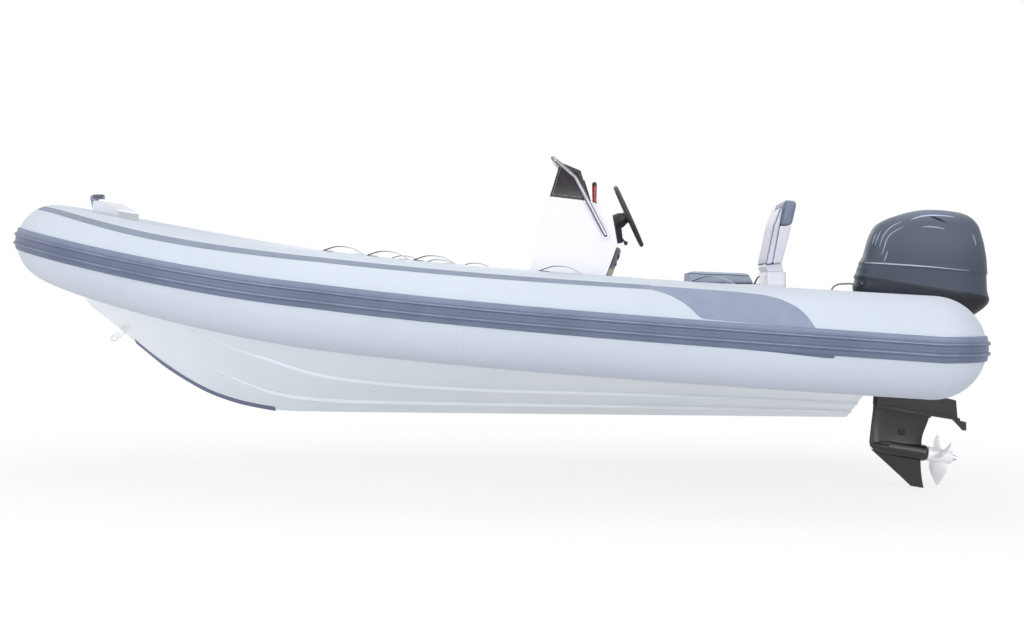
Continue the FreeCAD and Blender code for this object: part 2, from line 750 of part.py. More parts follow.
def steering_wheel():
    _, centre, axis = wheel_place()
    across = V(0, 1, 0)
    upright = axis.cross(across)
    parts = [Part.makeTorus(WHEEL_R, WHEEL_RIM_R, centre, axis)]
    hub = centre - axis * HUB_BACK
    parts.append(revolved([(0, 0), (0, 34), (14, 34), (22, 24), (24, 0)], hub, axis, across))
    for k in range(3):
        a = math.radians(270.0 + 120.0 * k)
        d = across * math.cos(a) + upright * math.sin(a)
        side = axis.cross(d)
        ends = []
        for reach, half, level in ((24.0, 20.0, 8.0), (WHEEL_R - 2.0, 11.0, 16.0)):
            c = hub + d * reach + axis * level
            ring = [c + side * half - axis * 4.0, c + side * half + axis * 4.0,
                    c - side * half + axis * 4.0, c - side * half - axis * 4.0]
            ends.append(Part.makePolygon(ring + ring[:1]))
        parts.append(Part.makeLoft(ends, True, True))
    return fuse(parts)


def helm_box(block):
    foot, centre, axis = wheel_place()
    end = WHEEL_OFF - HUB_BACK - SEAT
    profile = [(-20, 0), (-20, 44), (40, 40), (end, 28), (end, 0)]
    return revolved(profile, foot, axis, V(0, 1, 0)).cut(block)


def control_box(block):
    """Engine control housing on the aft face, to starboard of the wheel."""
    foot, run, out = slope_frame(CONSOLE[6], CONSOLE[5], 0.45)
    corners = [foot + run * a + out * b for a, b in ((-50, -20), (52, -20), (52, 22), (30, 36), (-50, 30))]
    housing = side_plate([(p.x, p.z) for p in corners], -235, -155)
    return rounded(housing, 5.0).cut(block)


def control_lever():
    """Lever on the inner side of the control box, with a round grip."""
    foot, run, out = slope_frame(CONSOLE[6], CONSOLE[5], 0.45)
    start = foot + out * 14.0 - run * 6.0
    end = start - run * 52.0 + out * 30.0
    side = V(0, 1, 0).cross(end - start).normalize() * 5.0
    corners = [start + side, end + side, end - side, start - side]
    arm = side_plate([(p.x, p.z) for p in corners], -148, -139)
    return fuse([cylinder_y(start.x, start.z, -155 + SEAT, -137, 10), arm,
                 cylinder_y(end.x, end.z, -153, -125, 11)])


# Helm seat.
SEAT_FRONT_X = CONSOLE_X - SEAT_GAP
SEAT_AFT_X = SEAT_FRONT_X - SEAT_BASE_L
SEAT_TOP_Z = SOLE_Z + SEAT_BASE_H
CUSHION_AFT_X = SEAT_FRONT_X - CUSHION_L
RISER_L = 99.0
RISER_H = 62.0


def seat_base():
    block = box(SEAT_AFT_X, SEAT_FRONT_X, -SEAT_HALF_W, SEAT_HALF_W, SOLE_Z, SEAT_TOP_Z)
    riser = box(SEAT_AFT_X, SEAT_AFT_X + RISER_L, -SEAT_HALF_W + 30, SEAT_HALF_W - 30,
                SEAT_TOP_Z - 1, SEAT_TOP_Z + RISER_H)
    block = rounded(block, 30.0, V(0, 0, 1))
    riser = rounded(riser, 16.0, V(0, 0, 1))
    inside = box(SEAT_AFT_X + SEAT_WALL, SEAT_FRONT_X - SEAT_WALL, SEAT_WALL - SEAT_HALF_W,
                 SEAT_HALF_W - SEAT_WALL, SOLE_Z + SEAT_WALL, SEAT_TOP_Z - SEAT_WALL)
    mouth = box(CUSHION_AFT_X + 30, SEAT_FRONT_X - 30, -SEAT_HALF_W + 40, SEAT_HALF_W - 40,
                SEAT_TOP_Z - 2 * SEAT_WALL, SEAT_TOP_Z + 1)
    return fuse([block, riser]).cut(rounded(inside, 20.0, V(0, 0, 1))).cut(mouth)


def seat_cushion():
    z = SEAT_TOP_Z + LID_GAP
    drop = 0.04 * CUSHION_L
    pad = side_plate([(CUSHION_AFT_X, z), (SEAT_FRONT_X, z), (SEAT_FRONT_X, z + CUSHION_T),
                      (CUSHION_AFT_X + 27, z + CUSHION_T - drop)], -SEAT_HALF_W, SEAT_HALF_W)
    return rounded(pad, 8.0)


def seat_catch():
    """Bent stainless catch behind the cushion."""
    x = CUSHION_AFT_X - 12.0
    z = SEAT_TOP_Z
    hook = side_plate([(x, z), (x - 34, z), (x - 34, z + 3), (x - 12, z + 4), (x - 26, z + 34),
                       (x - 36, z + 40), (x - 34, z + 45), (x - 21, z + 38), (x - 3, z + 3)], -14, 14)
    return hook


def backrest(front_low, front_high, aft_low, aft_high, half_w, radius):
    """Leaning block between two heights, each end as (x, z)."""
    return rounded(side_plate([front_low, aft_low, aft_high, front_high], -half_w, half_w), radius)


BACK_X = SEAT_AFT_X
BACK_Z = SEAT_TOP_Z + RISER_H
FOOT_H = 49.0
FOOT_FALL = 0.174         # slope of the foot's top, down to the front


def foot_top(x):
    return BACK_Z + FOOT_H - FOOT_FALL * (x - 22)


def backrest_foot():
    outline = [(BACK_X + 92, BACK_Z), (BACK_X + 10, BACK_Z), (BACK_X + 22, foot_top(22)), (BACK_X + 108, foot_top(108))]
    return rounded(side_plate(outline, -0.8 * SEAT_HALF_W, 0.8 * SEAT_HALF_W), 6.0)


def backrest_shell():
    return backrest((BACK_X + 67, foot_top(67) + SEAT), (BACK_X + 32, BACK_Z + 236),
                    (BACK_X + 22, foot_top(22) + SEAT), (BACK_X - 25, BACK_Z + 236), 0.9 * SEAT_HALF_W, 7.0)


def backrest_cap():
    seam = BACK_Z + 236 + SEAT
    return backrest((BACK_X + 32, seam), (BACK_X + 7, BACK_Z + 374), (BACK_X - 25, seam),
                    (BACK_X - 54, BACK_Z + 366), 0.92 * SEAT_HALF_W, 9.0)


def backrest_pad():
    pad = side_plate([(BACK_X + 67 + SEAT, foot_top(67) + SEAT), (BACK_X + 32 + SEAT, BACK_Z + 236),
                      (BACK_X + 13.5, BACK_Z + 342), (BACK_X + 28, BACK_Z + 342), (BACK_X + 67, BACK_Z + 241),
                      (BACK_X + 108, foot_top(108) + SEAT)], -0.9 * SEAT_HALF_W, 0.9 * SEAT_HALF_W)
    return rounded(pad, 5.0)


# Outboard engine.
TILT_X = TRANSOM_X + TILT_FORWARD
TILT_Z = TRANSOM_TOP_Z + TILT_ABOVE


def placed(shape):
    """Move a shape from the engine frame to the boat frame."""
    out = shape.copy()
    out.rotate(V(0, 0, 0), V(0, 1, 0), TRIM_DEG)
    out.translate(V(TILT_X, 0, TILT_Z))
    return out


def clamp_bracket():
    """Two arms hooked over the transom, tied by the tilt tube."""
    hook = TRANSOM_T - TILT_FORWARD
    outline = [(-TILT_FORWARD - SEAT, -300), (-TILT_FORWARD - SEAT, SEAT - TILT_ABOVE),
               (hook + SEAT, SEAT - TILT_ABOVE), (hook + SEAT, -170), (hook + 24, -170),
               (hook + 28, -20), (hook + 6, 22), (-28, 26), (-52, -6), (-70, -120), (-68, -300)]
    arms = []
    for s in (-1.0, 1.0):
        y = s * CLAMP_Y
        arm = rounded(side_plate(outline, y - CLAMP_T / 2, y + CLAMP_T / 2), 4.0, V(0, 1, 0))
        arm = arm.cut(box(-TILT_FORWARD - SEAT, hook + SEAT, y - CLAMP_T, y + CLAMP_T, -400, SEAT - TILT_ABOVE))
        screw = Part.makeCylinder(7, 62, V(hook + SEAT, y, -120), V(1, 0, 0))
        bar = Part.makeCylinder(5, 60, V(hook + 58, y, -150), V(0, 0, 1))
        arms += [arm, screw, bar]
    tube = cylinder_y(0, 0, -CLAMP_Y - 26, CLAMP_Y + 26, 14)
    body = fuse(arms + [tube])
    body.translate(V(TILT_X, 0, TILT_Z))
    _, rod_at = thrust_rod()
    end = CLAMP_Y + CLAMP_T
    return body.cut(cylinder_y(rod_at.x, rod_at.z, -end, end, THRUST_R + RUNNING))


SWIVEL_WEB = [(-62, -40), (-78, -120), (-80, -290)]     # front of the web, in the engine frame
THRUST_R = 8.0
THRUST_Z = -262.0


def thrust_rod():
    """Rod across the clamp arms, which the swivel bracket leans on."""
    (x0, z0), (x1, z1) = SWIVEL_WEB[1:]
    run = V(x0 - x1, 0, z0 - z1).normalize()
    face = V(x1, 0, z1) + run * ((THRUST_Z - z1) / run.z)
    centre = face + V(run.z, 0, -run.x) * (THRUST_R + SEAT)
    end = CLAMP_Y + CLAMP_T / 2 + 6
    return placed(cylinder_y(centre.x, centre.z, -end, end, THRUST_R)), placed(Part.Vertex(centre)).Point


def swivel_bracket():
    """Tilting frame that carries the steering shaft."""
    tube = Part.makeCylinder(24, 350, V(-STEER_AFT, 0, -300))
    arms = []
    for s in (-1.0, 1.0):
        y0 = min(s * 50.0, s * (CLAMP_Y - CLAMP_T / 2 - 1.0))
        y1 = max(s * 50.0, s * (CLAMP_Y - CLAMP_T / 2 - 1.0))
        arms.append(side_plate([(20, -14), (20, 14), (8, 24), (-60, 34), (-90, 34), (-90, -120), (-74, -60),
                                (-34, -24)], y0, y1))
    web = side_plate([(-62, 34), (-STEER_AFT, 34), (-STEER_AFT, -290)] + SWIVEL_WEB[::-1], -52, 52)
    body = fuse([tube, web] + arms)
    body = body.cut(cylinder_y(0, 0, -200, 200, 14 + RUNNING))
    return body.cut(Part.makeCylinder(18 + RUNNING, 400, V(-STEER_AFT, 0, -320)))


def steering_yoke():
    """Steering shaft with the upper and lower mounts of the engine."""
    post = Part.makeCylinder(18, 420, V(-STEER_AFT, 0, -330))
    upper = rounded(box(-215, -72, -44, 44, 58, 130), 8.0, V(0, 0, 1))
    lower = rounded(box(-215, -STEER_AFT + 4, -38, 38, -345, -310), 8.0, V(0, 0, 1))
    collar = Part.makeCylinder(34, 33, V(-STEER_AFT, 0, -343))
    return fuse([post, upper, lower, collar])


def midsection():
    """Leg housing with the exhaust casing above the plate."""
    leg = moulded([(110, -168, -345, 62), (20, -168, -350, 60), (-110, -178, -388, 52),
                   (-230, -192, -400, 45), (-340, -206, -410, 40), (-455, -219, -430, 37)], 2.6)
    casing = side_plate([(-225, -350), (-415, -352), (-628, -365), (-650, -452), (-225, -455)], -34, 34)
    casing = rounded(casing, 14.0, V(0, 0, 1))
    plate = plan_plate(both_sides([(-655, 70), (-630, 80), (-430, 80), (-320, 62), (-235, 34)]), -464, -452)
    skirt = moulded([(-480, -224, -520, 27), (-464, -222, -530, 30)], 2.4)
    return fuse([leg, casing, plate, skirt])


def lower_unit():
    """Gearcase: strut, torpedo and skeg."""
    strut = moulded([(-660, -234, -520, 30), (-620, -231, -500, 24), (-560, -228, -500, 20),
                     (-480.3, -225, -515, 24)], 2.2)
    profile = [(-530, 0), (-530, 36), (-522, BULLET_R), (-330, BULLET_R), (-290, 36), (-258, 24), (-240, 10),
               (-236, 0)]
    torpedo = revolved(profile, V(0, 0, -SHAFT_DOWN), V(1, 0, 0), V(0, 0, 1))
    skeg = moulded([(-847, -480, -548, 3), (-760, -352, -520, 5), (-690, -246, -507, 9)], 2.0)
    body = fuse([strut, torpedo, skeg])
    for s in (-1.0, 1.0):
        body = body.cut(box(-400, -364, min(s * 16, s * 60), max(s * 16, s * 60), -592, -556))
    return body


def trim_tab():
    return rounded(side_plate([(-628, -464.3), (-650, -464.3), (-704, -470), (-712, -512), (-694, -516)], -7, 7),
                   2.0, V(0, 1, 0))


BLADE_STEPS = 7
BLADE_POINTS = 12
BLADE_ROOT = HUB_R - 10.0
BLADE_CHORD = 116.0


def blade_section(share):
    """Lens across the blade, from root 0 to tip 1, turned to its pitch there."""
    radius = BLADE_ROOT + share * (PROP_R - BLADE_ROOT)
    chord = BLADE_CHORD * math.sin(math.pi * (0.22 + 0.73 * share))
    thick = 12.0 - 9.0 * share
    pitch = math.atan(PROP_PITCH / (2.0 * math.pi * radius))
    run = V(math.sin(pitch), math.cos(pitch), 0)
    face = V(math.cos(pitch), -math.sin(pitch), 0)
    middle = V(-14.0 * share, 12.0 * share, radius)
    ring = []
    for i in range(BLADE_POINTS):
        a = 2.0 * math.pi * i / BLADE_POINTS
        ring.append(middle + run * (0.5 * chord * math.cos(a)) + face * (0.5 * thick * math.sin(a)))
    return Part.makePolygon(ring + ring[:1])


def blade(angle):
    """One propeller blade, lofted from hub to tip."""
    rings = [blade_section(i / float(BLADE_STEPS)) for i in range(BLADE_STEPS + 1)]
    shape = Part.makeLoft(rings, True, True)
    shape.rotate(V(0, 0, 0), V(1, 0, 0), angle)
    shape.translate(V(-598, 0, -SHAFT_DOWN))
    return shape


def propeller():
    hub = revolved([(-661, 0), (-661, 31), (-655, 34), (-545, HUB_R + 1), (-535, HUB_R), (-535, 0)],
                   V(0, 0, -SHAFT_DOWN), V(1, 0, 0), V(0, 0, 1))
    body = fuse([hub] + [blade(180.0 + 120.0 * k) for k in range(3)])
    return body.cut(Part.makeCylinder(SHAFT_R, 200, V(-700, 0, -SHAFT_DOWN), V(1, 0, 0)))


def propeller_shaft():
    shaft = Part.makeCylinder(SHAFT_R, 210, V(-688, 0, -SHAFT_DOWN), V(1, 0, 0))
    nut = Part.makeCylinder(17, 16, V(-677.2, 0, -SHAFT_DOWN), V(1, 0, 0))
    return fuse([shaft, nut])


SEAM_Z = 190.0


def bottom_cowl():
    return moulded([(77, -110, -630, 120), (92, -62, -650, 140), (118, -26, -676, 156), (150, -21, -700, 166),
                    (SEAM_Z, -21, -702, 170)], 3.0)


def top_cowl():
    """Cover with a small air slot near the top of each side."""
    cover = moulded([(SEAM_Z + 1.0, -20, -703, 172), (235, -23, -692, 170), (308, -46, -677, 165),
                     (383, -54, -661, 158), (430, -64, -646, 151), (467, -80, -633, 143), (505, -121, -616, 130),
                     (540, -183, -599, 113), (570, -250, -572, 88), (590, -320, -540, 60), (601, -400, -500, 24)],
                    2.7)
    for s in (-1.0, 1.0):
        slot = side_plate([(-352, 552), (-424, 538), (-430, 530), (-380, 540)], min(s * 60, s * 140),
                          max(s * 60, s * 140))
        cover = cover.cut(slot)
    return cover


def export(name, shape):
    """Write one node, after a check that it is sound."""
    parts = shape if isinstance(shape, list) else [shape]
    solids = [solid for part in parts for solid in part.Solids]
    good = bool(solids) and all(solid.isValid() for solid in solids)
    whole = solids[0] if len(solids) == 1 else Part.makeCompound(solids)
    whole.exportStep("parts/" + name + ".step")
    print(name, len(solids), "sound" if good else "UNSOUND", round(whole.Volume / 1.0e6, 3))


TRIM = tube_tools(SEAT)
WIDE = tube_tools(CLEAR)

tube = side_tube()
export("tube_port", tube)
export("tube_starboard", mirrored(tube))
export("tube_bow", bow_tube())
strake = side_strake()
export("strake_port", strake)
export("strake_starboard", mirrored(strake))
export("strake_bow", bow_strake())
handles = tube_handles(TRIM)
export("handles_port", handles)
export("handles_starboard", [mirrored(handle) for handle in handles])

loft = hull_loft()
hull = hull_body(loft, TRIM)
export("hull", hull)
eyelet = bow_eye(loft)
export("bow_eye", eyelet)
export("keel_guard", keel_guard(loft).cut(eyelet))
export("transom", transom_board(TRIM))
export("sole", cut(plan_plate(cockpit_plan(), DECK_UNDER, SOLE_Z), TRIM))
export("stern_eyes", [stern_eye(1.0), stern_eye(-1.0)])

LOCKER_AXIS = (LOCKER_AFT_X - HINGE_OUT, LOCKER_TOP_Z + HINGE_UP)
LOCKER_HINGE_YS = (-0.25 * HALF_SPACING, 0.25 * HALF_SPACING)
SEAT_AXIS = (SEAT_FRONT_X + HINGE_OUT, SEAT_TOP_Z + HINGE_UP)
SEAT_HINGE_YS = (-0.6 * SEAT_HALF_W, 0.6 * SEAT_HALF_W)
FLAP_AXIS, FLAP_RUN = flap_axis()
FLAP_HINGE_YS = (-0.6 * FLAP_HALF_W, 0.6 * FLAP_HALF_W)

export("bow_locker", bow_locker(TRIM))
export("locker_hinges", [fixed_leaf(*LOCKER_AXIS, y, LOCKER_AFT_X) for y in LOCKER_HINGE_YS])
leaves = [moving_leaf(*LOCKER_AXIS, y, V(1, 0, 0)) for y in LOCKER_HINGE_YS]
export("bow_locker_lid", hinged(locker_lid(WIDE), leaves))
export("bow_bracket", bow_bracket())

block = console_block()
export("console", console())
export("flap_hinges", [fixed_leaf(FLAP_AXIS.x, FLAP_AXIS.z, y, CONSOLE_X) for y in FLAP_HINGE_YS])
leaves = [moving_leaf(FLAP_AXIS.x, FLAP_AXIS.z, y, FLAP_RUN) for y in FLAP_HINGE_YS]
export("console_flap", hinged(flap(), leaves))
export("windscreen", windscreen(block))
export("console_rail", rail())
export("bow_light_lens", light_stick([(24, 0), (24, 11), (112, 13), (112, 0)]))
export("bow_light_ends", [light_stick([(0, 0), (0, 16), (24, 14), (24, 0)]).cut(block),
                          light_stick([(112, 0), (112, 13), (126, 12), (132, 7), (132, 0)])])
export("helm_box", helm_box(block))
export("steering_wheel", steering_wheel())
export("control_box", control_box(block))
export("control_lever", control_lever())

export("seat_base", seat_base())
export("seat_hinges", [fixed_leaf(*SEAT_AXIS, y, SEAT_FRONT_X) for y in SEAT_HINGE_YS])
leaves = [moving_leaf(*SEAT_AXIS, y, V(-1, 0, 0)) for y in SEAT_HINGE_YS]
export("seat_cushion", hinged(seat_cushion(), leaves))
export("seat_catch", seat_catch())
export("backrest_foot", backrest_foot())
export("backrest_shell", backrest_shell())
export("backrest_cap", backrest_cap())
export("backrest_pad", backrest_pad())

export("clamp_bracket", clamp_bracket())
export("thrust_rod", thrust_rod()[0])
export("swivel_bracket", placed(swivel_bracket()))
bottom = bottom_cowl()
yoke = steering_yoke().cut(bottom)
export("steering_yoke", placed(yoke))
leg = cut(midsection(), [yoke, bottom])
export("midsection", placed(leg))
bore = Part.makeCylinder(SHAFT_R + RUNNING, 300, V(-700, 0, -SHAFT_DOWN), V(1, 0, 0))
export("lower_unit", placed(lower_unit().cut(bore)))
export("trim_tab", placed(trim_tab()))
export("propeller", placed(propeller()))
export("propeller_shaft", placed(propeller_shaft()))
export("bottom_cowl", placed(bottom))
export("top_cowl", placed(top_cowl()))
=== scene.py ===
"""Rigid inflatable boat dressed for the render. Metres, +X to the bow, +Y to port, +Z up."""
import math

import bmesh
import bpy
import numpy as np
from mathutils import Matrix, Vector
from mathutils.bvhtree import BVHTree


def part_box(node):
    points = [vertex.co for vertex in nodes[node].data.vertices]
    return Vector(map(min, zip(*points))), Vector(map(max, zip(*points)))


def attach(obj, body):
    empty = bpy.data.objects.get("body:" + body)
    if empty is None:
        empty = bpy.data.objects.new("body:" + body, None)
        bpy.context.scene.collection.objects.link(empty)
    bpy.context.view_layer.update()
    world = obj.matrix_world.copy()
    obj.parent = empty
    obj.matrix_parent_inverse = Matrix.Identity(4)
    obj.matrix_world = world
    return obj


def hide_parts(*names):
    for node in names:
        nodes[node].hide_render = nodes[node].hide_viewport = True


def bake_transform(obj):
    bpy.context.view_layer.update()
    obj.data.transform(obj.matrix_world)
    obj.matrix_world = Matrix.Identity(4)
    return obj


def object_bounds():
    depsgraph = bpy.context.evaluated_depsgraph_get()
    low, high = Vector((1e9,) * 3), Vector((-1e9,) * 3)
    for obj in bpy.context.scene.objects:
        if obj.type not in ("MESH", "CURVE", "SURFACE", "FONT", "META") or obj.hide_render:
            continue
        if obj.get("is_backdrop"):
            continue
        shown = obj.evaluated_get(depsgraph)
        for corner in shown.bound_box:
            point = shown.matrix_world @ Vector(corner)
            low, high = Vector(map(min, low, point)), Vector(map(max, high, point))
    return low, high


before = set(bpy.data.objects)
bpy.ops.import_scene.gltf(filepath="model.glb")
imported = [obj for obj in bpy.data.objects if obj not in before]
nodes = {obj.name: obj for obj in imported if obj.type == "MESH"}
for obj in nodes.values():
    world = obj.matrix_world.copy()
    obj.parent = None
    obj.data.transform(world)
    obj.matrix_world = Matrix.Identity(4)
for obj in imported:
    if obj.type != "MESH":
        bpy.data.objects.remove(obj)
cad_low, cad_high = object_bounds()


# Camera. It stands seven metres to port, a little aft of the middle and low,
# and looks slightly towards the bow and down, which puts the bow at the left.
def placed(name, data, spot=(0, 0, 0), sight=None):
    """New object in the scene, turned to look along a direction if one is given."""
    made = bpy.data.objects.new(name, data)
    bpy.context.scene.collection.objects.link(made)
    made.location = spot
    if sight:
        made.rotation_mode = "QUATERNION"
        made.rotation_quaternion = Vector(sight).to_track_quat("-Z", "Y")
    return made


lens = bpy.data.cameras.new("camera")
lens.lens = 45.98
lens.sensor_width = 36.0
turn, dip = math.radians(5.155), math.radians(1.051)
sight = (math.sin(turn) * math.cos(dip), -math.cos(turn) * math.cos(dip), -math.sin(dip))
bpy.context.scene.camera = placed("camera", lens, (-0.8647, 7.0, 0.408), sight)


# Studio. A pale floor just under the skeg, a plain bright surround that is
# white to the camera, and large soft lamps at an ordinary level.
class Wire:
    """One socket of a node tree, with plain arithmetic and one call for any other node."""

    def __init__(self, tree, out=None):
        self.tree = tree
        self.out = out

    def node(self, kind, output=0, props=(), **inputs):
        made = self.tree.nodes.new("ShaderNode" + kind)
        for key, value in dict(props).items():
            setattr(made, key, value)
        for key, value in inputs.items():
            slot = made.inputs[int(key[1:])] if key[1:].isdigit() else made.inputs[key.replace("_", " ")]
            if isinstance(value, Wire):
                self.tree.links.new(value.out, slot)
            else:
                slot.default_value = value
        return Wire(self.tree, made.outputs[output])

    def sum(self, kind, first, second=0.0):
        return self.node("Math", props={"operation": kind}, i0=first, i1=second)

    def __add__(self, other):
        return self.sum("ADD", self, other)

    def __sub__(self, other):
        return self.sum("SUBTRACT", self, other)

    def __rsub__(self, other):
        return self.sum("SUBTRACT", other, self)

    def __mul__(self, other):
        return self.sum("MULTIPLY", self, other)

    def __truediv__(self, other):
        return self.sum("DIVIDE", self, other)

    def __abs__(self):
        return self.sum("ABSOLUTE", self)

    def fract(self):
        """What is left over after the whole number."""
        return self.node("Math", props={"operation": "FRACT"}, i0=self)

    def axis(self, letter):
        """One part of a place."""
        return self.node("SeparateXYZ", letter, Vector=self)

    def noise(self, scale, detail=2.0, rough=0.5, bend=0.0):
        return self.node("TexNoise", Vector=self, Scale=scale, Detail=detail, Roughness=rough, Distortion=bend)

    def bands(self, direction, scale):
        props = {"wave_type": "BANDS", "bands_direction": direction}
        return self.node("TexWave", 1, props, Vector=self, Scale=scale)

    def laid(self):
        """Place along and round the piece, as its own coordinates say."""
        return self.node("UVMap", props={"uv_map": "place"})

    def ramp(self, low, high):
        """0 below low, 1 above high, smooth between."""
        return self.node("MapRange", props={"interpolation_type": "SMOOTHSTEP"}, i0=self, i1=low, i2=high)

    def mix(self, first, second):
        """Colour between two, by this share."""
        return self.node("Mix", 2, {"data_type": "RGBA"}, i0=self, i6=first, i7=second)

    def clouded(self, first, second, low=0.3, high=0.7):
        """Soft mix of two near colours, by this noise."""
        return self.ramp(low, high).mix(first, second)

    def to(self, node, name):
        self.tree.links.new(self.out, node.inputs[name])

    def bump(self, shader, strength, depth):
        """Use this height for the relief of a finish."""
        self.node("Bump", Height=self, Strength=strength, Distance=depth).to(shader, "Normal")


def rgb(red, green, blue):
    """Screen colour, 0 to 255, as light."""
    share = [c / 255.0 for c in (red, green, blue)]
    return tuple(c / 12.92 if c <= 0.04045 else ((c + 0.055) / 1.055) ** 2.4 for c in share) + (1.0,)


def around(colour, spread):
    """A colour made darker and lighter by the same share."""
    return [tuple(min(1.0, c * factor) for c in colour[:3]) + (1.0,)
            for factor in (1.0 - spread, 1.0 + spread)]


def stuff(name, rough, metal=0.0, coat=0.0, specular=0.5):
    """New material, the place in the object as a Wire, and the main shader."""
    made = bpy.data.materials.new(name)
    made.use_nodes = True
    shader = made.node_tree.nodes["Principled BSDF"]
    for label, value in (("Roughness", rough), ("Metallic", metal), ("Coat Weight", coat),
                         ("Coat Roughness", 0.12), ("Specular IOR Level", specular)):
        shader.inputs[label].default_value = value
    return made, Wire(made.node_tree).node("TexCoord", "Object"), shader


def worn(name, colour, rough, metal=0.0, coat=0.0, cloud=3.0, grain=300.0, depth=0.0001, spread=0.05):
    """Plain moulded, painted or cast finish: soft clouds in its colour and gloss, and a fine grain."""
    made, place, shader = stuff(name, rough, metal, coat)
    soft = place.noise(cloud, 5.0, 0.6)
    soft.clouded(*around(colour, spread)).to(shader, "Base Color")
    (soft * 0.5 * rough + 0.75 * rough).to(shader, "Roughness")
    place.noise(grain).bump(shader, 0.35, depth)
    return made


def to_the_eye(wire):
    """1 for rays that the camera sees straight, in a reflection or through glass."""
    straight, mirror, through = [wire.node("LightPath", f"Is {kind} Ray")
                                 for kind in ("Camera", "Glossy", "Transmission")]
    return straight + mirror + through


def studio_floor():
    """Matt white floor that keeps the shadow near the boat and fades to plain white to the eye farther out."""
    made, place, shader = stuff("studio_floor", 0.9, specular=0.1)
    seen = to_the_eye(place)
    oval = place.node("Mapping", Vector=place, Scale=(0.26, 0.42, 0.0))
    far = oval.node("VectorMath", "Value", {"operation": "LENGTH"}, i0=oval)
    seen.mix(rgb(232, 232, 234), rgb(251, 251, 252)).to(shader, "Base Color")
    (place.noise(0.8, 4.0) * 0.1 + 0.85).to(shader, "Roughness")
    white = place.node("Emission", Color=(1.0, 1.0, 1.0, 1.0), Strength=1.0)
    lit = Wire(place.tree, shader.outputs[0])
    both = place.node("MixShader", i0=seen * (far.ramp(0.7, 1.3) * 0.25 + 0.75), i1=lit, i2=white)
    both.to(made.node_tree.nodes["Material Output"], "Surface")
    return made


FLOOR_HALF = 60.0
floor_z = cad_low.z - 0.004
floor_mesh = bpy.data.meshes.new("floor")
floor_mesh.from_pydata([(x * FLOOR_HALF, y * FLOOR_HALF, floor_z)
                        for x, y in ((-1, -1), (1, -1), (1, 1), (-1, 1))], [], [(0, 1, 2, 3)])
floor_mesh.materials.append(studio_floor())
placed("floor", floor_mesh)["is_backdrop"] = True

world = bpy.data.worlds.new("surround")
bpy.context.scene.world = world
world.use_nodes = True
backdrop = world.node_tree.nodes["Background"]
backdrop.inputs["Strength"].default_value = 1.0
to_the_eye(Wire(world.node_tree)).mix((0.52, 0.53, 0.56, 1.0), (1.0, 1.0, 1.0, 1.0)).to(backdrop, "Color")
bpy.context.scene.view_settings.view_transform = "Standard"

LAMPS_AIM = Vector((-0.1, 0.0, 0.1))
for name, spot, size, power in (
    ("lamp_top", (0.2, 1.0, 6.0), 7.0, 170.0),
    ("lamp_port", (-4.6, 6.8, 2.6), 4.0, 165.0),
    ("lamp_bow", (5.4, 6.0, 2.2), 4.0, 185.0),
    ("lamp_low", (-0.2, 7.6, 0.55), 1.8, 50.0),
    ("lamp_starboard", (1.0, -7.0, 3.5), 4.0, 80.0),
):
    lamp = bpy.data.lights.new(name, "AREA")
    lamp.size = size
    lamp.energy = power
    placed(name, lamp, spot, LAMPS_AIM - Vector(spot))

# Tubes. Air chambers of coated fabric: one along each side with a rounded
# end cone, and one bent round the bow. They are glued up from panels, so the
# lap seams run round them and along their underside.
SIDES = (("starboard", -1.0), ("port", 1.0))
TUBE_R = 0.238
BOW_R = 0.203
AXIS_STEPS = 400


def bezier(poles):
    """Points along one cubic curve."""
    t = np.linspace(0.0, 1.0, AXIS_STEPS + 1)[:, None]
    a, b, c, d = [np.array(p, float) for p in poles]
    return (1 - t) ** 3 * a + 3 * (1 - t) ** 2 * t * b + 3 * (1 - t) * t * t * c + t ** 3 * d


AXIS_AFT = bezier([(-2.242, 0.86, 0.143), (-1.30414, 0.86, 0.19675), (-0.19576, 0.86, 0.262509),
                   (0.6, 0.86, 0.358)])
AXIS_BOW = bezier([(0.6, 0.86, 0.358), (1.33568, 0.86, 0.446282), (2.272, 0.3698, 0.672), (2.272, 0.0, 0.672)])
AXIS = np.vstack([AXIS_AFT, AXIS_BOW[1:]])
ALONG = np.concatenate([[0.0], np.cumsum(np.linalg.norm(np.diff(AXIS, axis=0), axis=1))])
SHOULDER = float(ALONG[AXIS_STEPS])
STEM = float(ALONG[-1])
RUN = np.gradient(AXIS, ALONG, axis=0)
RADIUS = np.concatenate([np.full(AXIS_STEPS, TUBE_R), np.linspace(TUBE_R, BOW_R, AXIS_STEPS + 1)])


def tube_frame(d):
    """Axis point of the port tube at a distance from its aft end, and its run, outward and upward ways."""
    centre = Vector([np.interp(d, ALONG, AXIS[:, k]) for k in range(3)])
    run = Vector([np.interp(d, ALONG, RUN[:, k]) for k in range(3)]).normalized()
    out = Vector((-run.y, run.x, 0.0)).normalized()
    return centre, run, out, run.cross(out)


def tube_radius(d):
    """Radius at a distance: the bow tube narrows towards the centre plane."""
    return float(np.interp(d, ALONG, RADIUS))


def skin_point(d, angle, lift=0.0):
    """Point of the tube's skin: angle 0 points outward and 90 upward. Below 0, d runs round the end cone."""
    centre, run, out, up = tube_frame(max(d, 0.0))
    a = math.radians(angle)
    side = out * math.cos(a) + up * math.sin(a)
    back = min(max(-d, 0.0) / TUBE_R, 0.5 * math.pi)
    return centre + (side * math.cos(back) - run * math.sin(back)) * (tube_radius(d) + lift)


